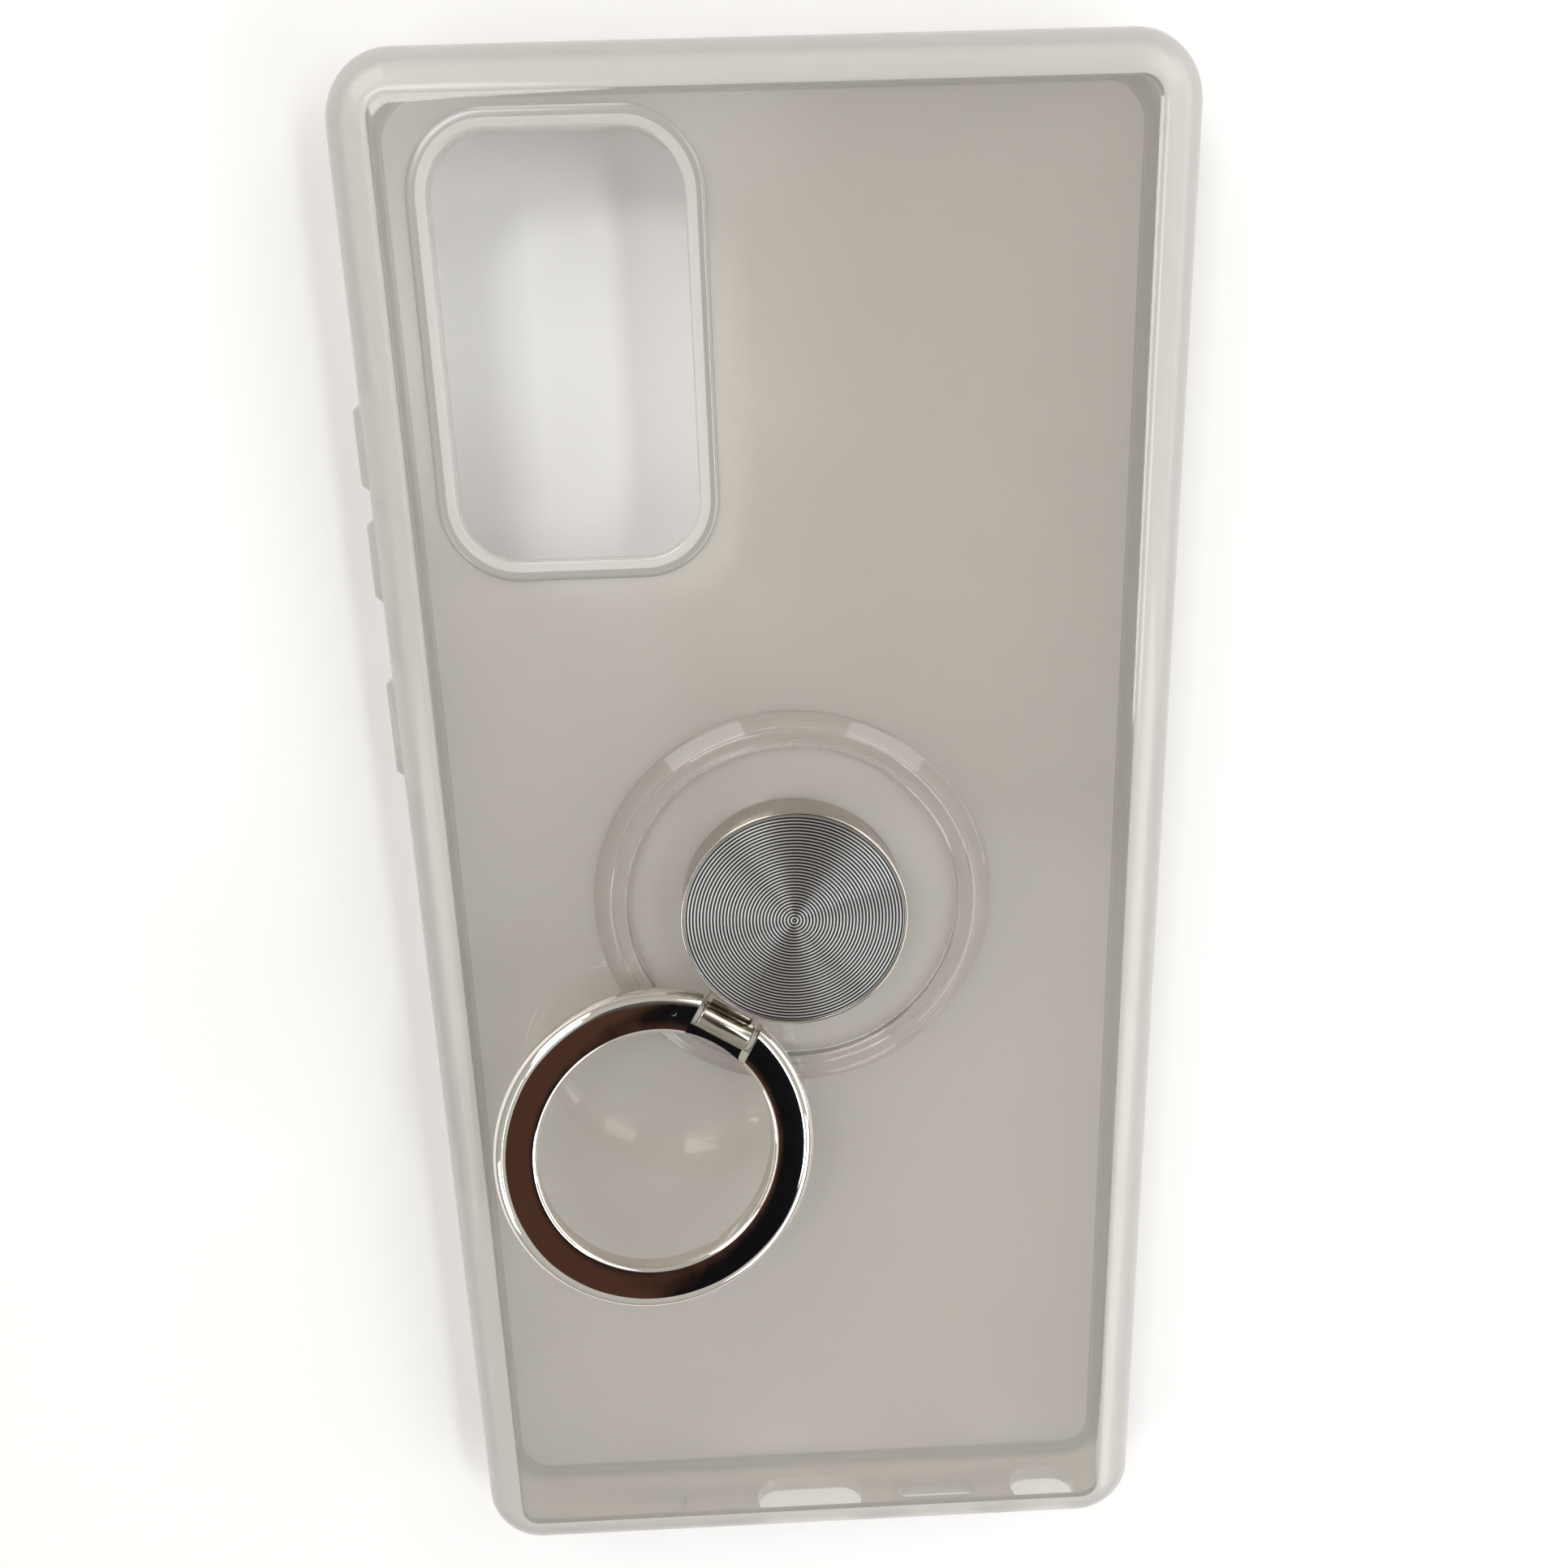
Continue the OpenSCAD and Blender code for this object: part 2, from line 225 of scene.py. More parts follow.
@dataclass
class RoundRect:
    """A rectangle with round corners, seen from above."""

    centre: Vector
    width: float
    length: float
    radius: float

    def spots(self, steps: int) -> list[tuple[Vector, Vector]]:
        """Lists the corner centres and the outward directions round the rectangle.

        Args:
            steps: Number of steps in each corner.

        Returns:
            One (corner centre, direction) pair for each ring of a sweep.
        """
        found = []
        for quarter in range(4):
            sign_x = 1 if quarter in (0, 3) else -1
            sign_y = 1 if quarter in (0, 1) else -1
            corner = self.centre + Vector((sign_x * (self.width / 2 - self.radius),
                                           sign_y * (self.length / 2 - self.radius), 0))
            for k in range(steps + 1):
                turn = math.radians(90 * (quarter + k / steps))
                found.append((corner, Vector((math.cos(turn), math.sin(turn), 0))))
        return found

    def sweep(self, name: str, section: Sequence[Point2], steps: int = 20) -> Piece:
        """Carries a closed section round the rectangle.

        Args:
            name: Name of the object.
            section: Points as (distance from the corner's centre, height).
            steps: Number of steps in each corner.

        Returns:
            The closed frame.
        """
        shape = bmesh.new()
        loops = []
        for corner, outward in self.spots(steps):
            loops.append([shape.verts.new(corner + outward * u + Vector((0, 0, z))) for u, z in section])
        join_loops(shape, loops)
        return from_bmesh(name, shape)

    def slab(self, name: str, layers: Sequence[tuple[float, float]], steps: int = 20) -> Piece:
        """Builds a solid slab from stacked outlines.

        Args:
            name: Name of the object.
            layers: Each outline as (how much smaller than the rectangle, height), from below upwards.
            steps: Number of steps in each corner.

        Returns:
            The slab.
        """
        shape = bmesh.new()
        loops = []
        for inset, z in layers:
            outline = RoundRect(self.centre, self.width - 2 * inset, self.length - 2 * inset,
                                max(self.radius - inset, LEAST_CORNER_R))
            loops.append([shape.verts.new(corner + outward * outline.radius + Vector((0, 0, z)))
                          for corner, outward in outline.spots(steps)])
        join_loops(shape, loops, closed=False)
        shape.faces.new(loops[0])
        shape.faces.new(loops[-1])
        return from_bmesh(name, shape)


def cylinder(radius: float, low: Vector, high: Vector, segments: int = 64) -> Piece:
    """Makes a plain cylinder to cut or add with.

    Args:
        radius: Its radius.
        low: Centre of one end.
        high: Centre of the other end.
        segments: Number of sides.

    Returns:
        The cylinder.
    """
    shape = bmesh.new()
    along = high - low
    place = Matrix.Translation((low + high) / 2) @ along.to_track_quat("Z", "Y").to_matrix().to_4x4()
    bmesh.ops.create_cone(shape, cap_ends=True, segments=segments, radius1=radius, radius2=radius,
                          depth=along.length, matrix=place)
    return from_bmesh("tool", shape)


def block(size: Vector, place: Matrix) -> Piece:
    """Makes a block to cut or add with.

    Args:
        size: Its three sides.
        place: Where its middle goes.

    Returns:
        The block.
    """
    shape = bmesh.new()
    bmesh.ops.create_cube(shape, size=1, matrix=place @ Matrix.Diagonal((*size, 1)))
    return from_bmesh("tool", shape)


def prism(name: str, outline: Sequence[Point2], depth: float, place: Matrix) -> Piece:
    """Extrudes an outline both ways from its plane.

    Args:
        name: Name of the object.
        outline: Points in the plane.
        depth: Full depth across the plane.
        place: Where the plane goes.

    Returns:
        The prism.
    """
    shape = bmesh.new()
    rows = [[shape.verts.new(place @ Vector((x, y, z))) for x, y in outline]
            for z in (-depth / 2, depth / 2)]
    shape.faces.new(rows[0])
    shape.faces.new(rows[1])
    for i in range(len(outline)):
        j = (i + 1) % len(outline)
        shape.faces.new((rows[0][i], rows[0][j], rows[1][j], rows[1][i]))
    return from_bmesh(name, shape)


def stadium(width: float, height: float, steps: int = 12) -> list[Point2]:
    """Makes the outline of a slot with round ends, centred."""
    offset = (width - height) / 2
    return arc(offset, 0, height / 2, -90, 90, steps) + arc(-offset, 0, height / 2, 90, 270, steps)


def settle(piece: Piece) -> None:
    """Makes a piece's modifiers part of its mesh.

    Args:
        piece: The object.
    """
    graph = bpy.context.evaluated_depsgraph_get()
    graph.update()
    mesh = bpy.data.meshes.new_from_object(piece.evaluated_get(graph))
    piece.modifiers.clear()
    old = piece.data
    piece.data = mesh
    bpy.data.meshes.remove(old)
    mesh.name = piece.name


class Join(Enum):
    """How a second body changes a first one."""

    ADD = "UNION"
    CUT = "DIFFERENCE"


def combine(piece: Piece, tools: Iterable[Piece], how: Join) -> None:
    """Adds bodies to a piece or cuts them from it, and removes them from the scene.

    Args:
        piece: The piece that changes.
        tools: The other bodies.
        how: Whether they are added or cut away.
    """
    tools = list(tools)
    for tool in tools:
        change = piece.modifiers.new("combine", "BOOLEAN")
        change.operation = how.value
        change.solver = "EXACT"
        change.object = tool
    settle(piece)
    for tool in tools:
        mesh = tool.data
        bpy.data.objects.remove(tool)
        bpy.data.meshes.remove(mesh)


@contextmanager
def editing(piece: Piece) -> Iterator[BMesh]:
    """Opens a piece's mesh for changes, and writes it back.

    Args:
        piece: The object.

    Yields:
        The bmesh, with its doubles merged.
    """
    shape = bmesh.new()
    shape.from_mesh(piece.data)
    bmesh.ops.remove_doubles(shape, verts=shape.verts, dist=WELD)
    yield shape
    shape.to_mesh(piece.data)
    shape.free()


def soften(piece: Piece, width: float, segments: int = 3, limit: float = 40,
           spared: tuple[Vector, float] | None = None) -> None:
    """Rounds the sharp outward edges of a piece.

    Args:
        piece: The object.
        width: Width of the rounding.
        segments: Number of steps across it.
        limit: Edges that turn by more than this many degrees are rounded.
        spared: A point and the distance from it within which edges stay sharp.
    """
    with editing(piece) as shape:
        weight = shape.edges.layers.float.new("bevel_weight_edge")
        for edge in shape.edges:
            sharp = (len(edge.link_faces) == 2 and edge.is_convex
                     and edge.calc_face_angle(0) > math.radians(limit))
            if sharp and spared is not None:
                here = (edge.verts[0].co + edge.verts[1].co) / 2 / MM
                sharp = (here - spared[0]).length > spared[1]
            edge[weight] = 1.0 if sharp else 0.0
    bevel = piece.modifiers.new("soften", "BEVEL")
    bevel.width = width * MM
    bevel.segments = segments
    bevel.limit_method = "WEIGHT"
    settle(piece)


def shade(piece: Piece, limit: float = 32) -> None:
    """Shades a piece smooth, and keeps its sharp edges sharp.

    Args:
        piece: The object.
        limit: Edges that turn by more than this many degrees stay sharp.
    """
    with editing(piece) as shape:
        bmesh.ops.dissolve_degenerate(shape, edges=shape.edges, dist=WELD)
        for face in shape.faces:
            face.smooth = True
        for edge in shape.edges:
            edge.smooth = len(edge.link_faces) == 2 and edge.calc_face_angle(0) < math.radians(limit)


def finish_piece(piece: Piece, finish: "Finish", body: Body, slot: Slot, *nodes: str) -> None:
    """Dresses a finished piece, puts it on its body and hides the CAD nodes that it stands for.

    Args:
        piece: The object.
        finish: Its finish.
        body: The body that it rides on.
        slot: The record's slot for its finish; not used.
        nodes: The CAD nodes that it stands for.
    """
    piece.data.materials.clear()
    piece.data.materials.append(finish.material())
    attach(piece, body.value)
    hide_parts(*nodes)
    log.info("%s: %d faces, rides on %s", piece.name, len(piece.data.polygons), body.value)


def dress_node(node: str, finish: "Finish") -> None:
    """Gives a CAD node that stays in view its finish.

    Args:
        node: The node's name.
        finish: Its finish.
    """
    piece = frame["nodes"][node]
    piece.data.materials.clear()
    piece.data.materials.append(finish.material())
    log.info("%s: CAD node, %s", node, finish.name)


# ---------------------------------------------------------------- node kits


class Ramp(Enum):
    """How a value climbs between two limits."""

    STRAIGHT = "LINEAR"
    SMOOTH = "SMOOTHSTEP"


class NodeKit:
    """Adds nodes and links to one node tree."""

    def __init__(self, tree: bpy.types.NodeTree) -> None:
        self.tree = tree

    def add(self, kind: str, **values: object) -> Node:
        """Adds a node and sets its properties or input values by name.

        Args:
            kind: The node's type name.
            values: Properties of the node, or inputs with their spaces written as underscores.

        Returns:
            The node.
        """
        node = self.tree.nodes.new(kind)
        for key, value in values.items():
            if hasattr(node, key):
                setattr(node, key, value)
            else:
                node.inputs[key.replace("_", " ")].default_value = value
        return node

    def link(self, source: Socket, target: Socket) -> None:
        """Joins two sockets."""
        self.tree.links.new(source, target)

    def math(self, operation: str, *values: object) -> Socket:
        """Adds a calculation.

        Args:
            operation: Its name, such as MULTIPLY.
            values: What it works on, each a socket or a number.

        Returns:
            The result's socket.
        """
        node = self.add("ShaderNodeMath", operation=operation)
        for slot, value in zip(node.inputs, values):
            if isinstance(value, Socket):
                self.link(value, slot)
            else:
                slot.default_value = value
        return node.outputs[0]

    def split(self, vector: Socket) -> bpy.types.NodeOutputs:
        """Takes a vector apart.

        Args:
            vector: The vector's socket.

        Returns:
            The outputs X, Y and Z.
        """
        node = self.add("ShaderNodeSeparateXYZ")
        self.link(vector, node.inputs[0])
        return node.outputs

    def vector(self, **parts: Socket) -> Socket:
        """Puts a vector together.

        Args:
            parts: Its linked parts, named X, Y or Z.

        Returns:
            The vector's socket.
        """
        node = self.add("ShaderNodeCombineXYZ")
        for axis, part in parts.items():
            self.link(part, node.inputs[axis])
        return node.outputs[0]


class ShaderKit(NodeKit):
    """Adds patterns and colours to a material or to the surroundings."""

    def spread(self, value: Socket, low: float, high: float, start: float = 0.3, stop: float = 0.7,
               ramp: Ramp = Ramp.STRAIGHT) -> Socket:
        """Maps a pattern to a range.

        Args:
            value: The pattern's socket.
            low: Result at start.
            high: Result at stop.
            start: Pattern value that gives low.
            stop: Pattern value that gives high.
            ramp: How the result climbs between them.

        Returns:
            The mapped value's socket.
        """
        ranged = self.add("ShaderNodeMapRange", interpolation_type=ramp.value, From_Min=start,
                          From_Max=stop, To_Min=low, To_Max=high)
        self.link(value, ranged.inputs["Value"])
        return ranged.outputs["Result"]

    def blend(self, value: Socket, first: Colour | Socket, second: Colour) -> Socket:
        """Blends two colours by a pattern.

        Args:
            value: The pattern's socket, from 0 to 1.
            first: Colour at 0, plain or linked.
            second: Colour at 1.

        Returns:
            The colour's socket.
        """
        mix = self.add("ShaderNodeMix", data_type="RGBA")
        slots = [slot for slot in mix.inputs if slot.type == "RGBA"]
        if isinstance(first, Socket):
            self.link(first, slots[0])
        else:
            slots[0].default_value = (*first, 1)
        slots[1].default_value = (*second, 1)
        self.link(value, mix.inputs["Factor"])
        return next(slot for slot in mix.outputs if slot.type == "RGBA")


class MaterialKit(ShaderKit):
    """Builds one material's nodes round its Principled shader."""

    def __init__(self, name: str) -> None:
        """Starts a material.

        Args:
            name: Name of the material.
        """
        self.material = bpy.data.materials.new(name)
        self.material.use_nodes = True
        super().__init__(self.material.node_tree)
        self.shader = self.tree.nodes["Principled BSDF"]
        self.coordinates = self.add("ShaderNodeTexCoord")

    def constant(self, **values: object) -> None:
        """Sets plain values on the shader's own sockets, named with underscores for spaces."""
        for key, value in values.items():
            self.shader.inputs[key.replace("_", " ")].default_value = value

    def drive(self, socket: str, source: Socket) -> None:
        """Links a pattern to one of the shader's sockets."""
        self.link(source, self.shader.inputs[socket])

    def noise(self, scale: float, detail: float = 2, roughness: float = 0.5) -> Socket:
        """Adds a noise pattern on the piece's own coordinates.

        Args:
            scale: Number of waves in a metre.
            detail: Number of finer layers.
            roughness: Strength of the finer layers.

        Returns:
            The noise value's socket.
        """
        noise = self.add("ShaderNodeTexNoise", Scale=scale, Detail=detail, Roughness=roughness)
        self.link(self.coordinates.outputs["Object"], noise.inputs["Vector"])
        return noise.outputs["Fac"]

    def radial(self, centre: Vector, radius: float, edge: float) -> Socket:
        """Marks the inside of an upright cylinder.

        Args:
            centre: A point on its axis, in metres.
            radius: Its radius in millimetres.
            edge: Half the width of its soft edge in millimetres.

        Returns:
            A socket that is 1 inside and 0 outside.
        """
        mapping = self.add("ShaderNodeMapping", Location=(-centre.x, -centre.y, 0), Scale=(1, 1, 0))
        self.link(self.coordinates.outputs["Object"], mapping.inputs["Vector"])
        length = self.add("ShaderNodeVectorMath", operation="LENGTH")
        self.link(mapping.outputs["Vector"], length.inputs[0])
        return self.spread(length.outputs["Value"], 1, 0, (radius - edge) * MM, (radius + edge) * MM)

    def bump(self, height: Socket, strength: float, distance: float) -> None:
        """Gives the surface relief.

        Args:
            height: The relief's socket.
            strength: Share of the relief, from 0 to 1.
            distance: Height of the relief in millimetres.
        """
        bump = self.add("ShaderNodeBump", Strength=strength, Distance=distance * MM)
        self.link(height, bump.inputs["Height"])
        self.drive("Normal", bump.outputs["Normal"])


class WorldKit(ShaderKit):
    """Builds the surroundings' nodes."""

    bend_scale, bend_detail = 4.0, 1.5
    bend_by = (0.16, 0.16, 0.0)
    horizon = (0.02, 0.10)

    def __init__(self, name: str) -> None:
        """Starts the surroundings.

        Args:
            name: Their name.
        """
        world = bpy.data.worlds.new(name)
        bpy.context.scene.world = world
        world.use_nodes = True
        super().__init__(world.node_tree)
        self.parts = self.split(self.bend(self.add("ShaderNodeTexCoord").outputs["Generated"]))

    def bend(self, direction: Socket) -> Socket:
        """Bends the directions a little, so that no patch has a ruled edge.

        Args:
            direction: The direction's socket.

        Returns:
            The bent direction's socket.
        """
        noise = self.add("ShaderNodeTexNoise", Scale=self.bend_scale, Detail=self.bend_detail)
        self.link(direction, noise.inputs["Vector"])
        centred = self.add("ShaderNodeVectorMath", operation="SUBTRACT")
        centred.inputs[1].default_value = (0.5, 0.5, 0.5)
        self.link(noise.outputs["Color"], centred.inputs[0])
        bent = self.add("ShaderNodeVectorMath", operation="MULTIPLY_ADD")
        bent.inputs[1].default_value = self.bend_by
        self.link(centred.outputs[0], bent.inputs[0])
        self.link(direction, bent.inputs[2])
        return bent.outputs[0]

    def mask(self, patch: "CeilingPatch") -> Socket:
        """Adds the mask of one ceiling patch, a rectangle with soft edges.

        Args:
            patch: The patch.

        Returns:
            The mask's socket.
        """
        whole = self.spread(self.parts["Z"], 0, 1, *self.horizon, Ramp.SMOOTH)
        for part, centre, reach in (("X", patch.x, patch.reach_x), ("Y", patch.y, patch.reach_y)):
            away = self.math("ABSOLUTE", self.math("SUBTRACT", self.parts[part], centre))
            edge = self.spread(away, 0, 1, reach + patch.edge, reach - patch.edge, Ramp.SMOOTH)
            whole = self.math("MULTIPLY", whole, edge)
        return whole


class ShapeKit(NodeKit):
    """Builds a geometry node tree with named inputs."""

    def __init__(self, name: str, **inputs: str) -> None:
        """Starts a tree.

        Args:
            name: Name of the tree.
            inputs: Kind of each input by its name, with spaces written as underscores.
        """
        super().__init__(bpy.data.node_groups.new(name, "GeometryNodeTree"))
        ends = self.tree.interface
        ends.new_socket("Geometry", in_out="OUTPUT", socket_type="NodeSocketGeometry")
        for key, kind in inputs.items():
            ends.new_socket(key.replace("_", " "), in_out="INPUT", socket_type="NodeSocket" + kind)
        self.inputs = self.add("NodeGroupInput")
        self.outputs = self.add("NodeGroupOutput")

    def value(self, name: str) -> Socket:
        """Returns the socket of a named input."""
        return self.inputs.outputs[name]

    def close(self, geometry: Socket) -> ShapeTree:
        """Ends the tree with Realize Instances and Set Material.

        Args:
            geometry: The finished geometry's socket.

        Returns:
            The tree.
        """
        realize = self.add("GeometryNodeRealizeInstances")
        dress = self.add("GeometryNodeSetMaterial")
        self.link(geometry, realize.inputs["Geometry"])
        self.link(realize.outputs["Geometry"], dress.inputs["Geometry"])
        self.link(self.value("Material"), dress.inputs["Material"])
        self.link(dress.outputs["Geometry"], self.outputs.inputs["Geometry"])
        return self.tree


# ---------------------------------------------------------------- finishes


def tinted(colour: Colour, factor: float) -> Colour:
    """Multiplies a colour."""
    return tuple(min(1.0, channel * factor) for channel in colour)


@dataclass(frozen=True)
class Finish:
    """A finish with a name, which makes its material once."""

    name: str
    colour: Colour

    def material(self) -> bpy.types.Material:
        """Returns the finish's material, made at the first call."""
        found = bpy.data.materials.get(self.name)
        if found is not None:
            return found
        kit = MaterialKit(self.name)
        self.fill(kit)
        return kit.material

    def fill(self, kit: MaterialKit) -> None:
        """Builds the finish's nodes."""
        raise NotImplementedError


@dataclass(frozen=True)
class ClearPlastic(Finish):
    """See-through plastic, from water clear to milky."""

    transmission: float
    roughness: float
    roughness_spread: float
    ripple: float
    ripple_scale: float
    cloud: float = 0.03
    index: float = 1.49
    coat: float = 0.0
    coat_roughness: float = 0.12
    cloud_scale: float = 28
    haze_scale: float = 140
    # Painted light: a lighter colour inside a circle round the swivel axis, which offsets the shade that the
    # drum casts there.
    painted_light_colour: Colour | None = None
    painted_light_r: float = 0.0
    inner_edge: float = 0.8

    def fill(self, kit: MaterialKit) -> None:
        """Builds a tinted clear plastic with faint clouds, handling haze and a moulded ripple, and, where
        painted_light_colour is given, with a lighter colour painted inside a circle round the swivel axis as
        painted light against the stand's shade.

        Args:
            kit: The node kit of its material.
        """
        kit.constant(Transmission_Weight=self.transmission, IOR=self.index, Coat_Weight=self.coat,
                     Coat_Roughness=self.coat_roughness)
        cloud = kit.spread(kit.noise(self.cloud_scale, 3), 0, 1)
        colour = kit.blend(cloud, tinted(self.colour, 1 - self.cloud), self.colour)
        # Painted light: inside the circle the colour is lightened, to offset the shade of the drum and
        # collar seen through the plate.
        if self.painted_light_colour is not None:
            inside = kit.radial(Vector(joint("stand_swivel")["pos_m"]), self.painted_light_r, self.inner_edge)
            colour = kit.blend(inside, colour, self.painted_light_colour)
        kit.drive("Base Color", colour)
        haze = kit.noise(self.haze_scale, 4, 0.6)
        kit.drive("Roughness", kit.spread(haze, self.roughness, self.roughness + self.roughness_spread))
        kit.bump(kit.noise(self.ripple_scale, 2), 1.0, self.ripple)


@dataclass(frozen=True)
class PlatedMetal(Finish):
    """Plated metal, whose skin is never quite flat."""

    roughness: float
    wave: float
    wave_scale: float
    worn: float = 0.05
    tone_scale: float = 160
    wear: float = 1.3
    wear_scale: float = 300

    def fill(self, kit: MaterialKit) -> None:
        """Builds bright plating with an orange-peel wave and slight wear.

        Args:
            kit: The node kit of its material.
        """
        kit.constant(Metallic=1.0)
        tone = kit.spread(kit.noise(self.tone_scale, 3), 0, 1)
        kit.drive("Base Color", kit.blend(tone, tinted(self.colour, 1 - self.worn), self.colour))
        worn = kit.noise(self.wear_scale, 2)
        kit.drive("Roughness", kit.spread(worn, self.roughness, self.roughness * self.wear))
        kit.bump(kit.noise(self.wave_scale, 2), 1.0, self.wave)


@dataclass(frozen=True)
class SpunMetal(Finish):
    """Metal turned on a lathe, with its grain running round the axis."""

    roughness: float
    anisotropy: float
    grooves: int
    painted_groove_shade: float
    across_grooves: float = 0.25
    land: Point2 = (-0.1, 0.7)
    wear: float = 0.05
    wear_scale: float = 300

    def fill(self, kit: MaterialKit) -> None:
        """Builds a spun metal whose groove bottoms are painted darker as painted shade, and whose highlight
        fans out in wedges.

        Args:
            kit: The node kit of its material.
        """
        kit.constant(Metallic=1.0, Anisotropic=self.anisotropy,
                     Anisotropic_Rotation=self.across_grooves)
        turn = kit.split(kit.add("ShaderNodeUVMap", uv_map="turn").outputs["UV"])
        wave = kit.math("COSINE", kit.math("MULTIPLY", turn["Y"], 2 * math.pi * self.grooves))
        land = kit.spread(wave, 0, 1, *self.land)
        # Painted shade: the colour darkens towards each groove's bottom, standing in for the shade of the
        # grooves.
        kit.drive("Base Color", kit.blend(land, tinted(self.colour, self.painted_groove_shade), self.colour))
        kit.drive("Roughness", kit.spread(kit.noise(self.wear_scale), self.roughness * (1 - self.wear),
                                          self.roughness * (1 + self.wear)))
        tangent = kit.add("ShaderNodeTangent", direction_type="UV_MAP", uv_map="turn")
        kit.drive("Tangent", tangent.outputs["Tangent"])


@dataclass(frozen=True)
class PlainMetal(Finish):
    """Unplated steel with a fine random grain."""

    roughness: float
    worn: float = 0.18
    wear: float = 1.5
    tone_scale: float = 500
    wear_scale: float = 1200
    grain_scale: float = 2500
    grain: float = 0.01

    def fill(self, kit: MaterialKit) -> None:
        """Builds a satin steel.

        Args:
            kit: The node kit of its material.
        """
        kit.constant(Metallic=1.0)
        tone = kit.spread(kit.noise(self.tone_scale, 4, 0.6), 0, 1)
        kit.drive("Base Color", kit.blend(tone, tinted(self.colour, 1 - self.worn), self.colour))
        worn = kit.noise(self.wear_scale, 3)
        kit.drive("Roughness", kit.spread(worn, self.roughness, self.roughness * self.wear))
        kit.bump(kit.noise(self.grain_scale, 3, 0.6), 0.3, self.grain)


@dataclass(frozen=True)
class MattPlastic(Finish):
    """Opaque plastic with a fine moulded grain."""

    roughness: float
    worn: float = 0.07
    wear: float = 1.2
    tone_scale: float = 700
    wear_scale: float = 2000
    grain_scale: float = 4000
    grain: float = 0.01

    def fill(self, kit: MaterialKit) -> None:
        """Builds a matt moulded plastic.

        Args:
            kit: The node kit of its material.
        """
        tone = kit.spread(kit.noise(self.tone_scale, 3), 0, 1)
        kit.drive("Base Color", kit.blend(tone, tinted(self.colour, 1 - self.worn), self.colour))
        kit.drive("Roughness", kit.spread(kit.noise(self.wear_scale), self.roughness,
                                          self.roughness * self.wear))
        kit.bump(kit.noise(self.grain_scale), 0.4, self.grain)


MILK = (0.83, 0.80, 0.755)
# The plate's lighter colour inside the collar is painted light, against the shade of the stand.
PLATE_FINISH = ClearPlastic("plate_acrylic", (0.865, 0.835, 0.785), 0.8, 0.03, 0.05, 0.02, 60,
                            painted_light_colour=(1.0, 0.97, 0.93), painted_light_r=17.1)
BEAD_FINISH = ClearPlastic("clear_bead", (0.90, 0.87, 0.82), 0.6, 0.16, 0.05, 0.004, 120, coat=0.6)
COLLAR_FINISH = ClearPlastic("clear_collar", (0.92, 0.89, 0.85), 0.85, 0.02, 0.03, 0.004, 120)
BUMPER_FINISH = ClearPlastic("milky_bumper", MILK, 0.55, 0.42, 0.08, 0.006, 90, coat=0.5)
BUTTON_FINISH = ClearPlastic("milky_buttons", MILK, 0.55, 0.42, 0.08, 0.01, 200, coat=0.3)
RING_FINISH = PlatedMetal("polished_plating", (0.86, 0.83, 0.77), 0.04, 0.02, 240)
DRUM_FINISH = PlatedMetal("satin_plating", (0.50, 0.465, 0.41), 0.13, 0.001, 60)
# The disc's darker groove bottoms are painted shade.
DISC_FINISH = SpunMetal("disc_turned", (0.90, 0.895, 0.89), 0.29, 0.9, 33, 0.06)
STEEL_FINISH = PlainMetal("steel_satin", (0.56, 0.56, 0.57), 0.28)
SLIP_FINISH = MattPlastic("washer_nylon", (0.86, 0.85, 0.82), 0.5)
BUSH_FINISH = MattPlastic("bush_acetal", (0.36, 0.34, 0.31), 0.4)
FILM_FINISH = MattPlastic("tape_film", (0.85, 0.8, 0.68), 0.6)


# ---------------------------------------------------------------- the case


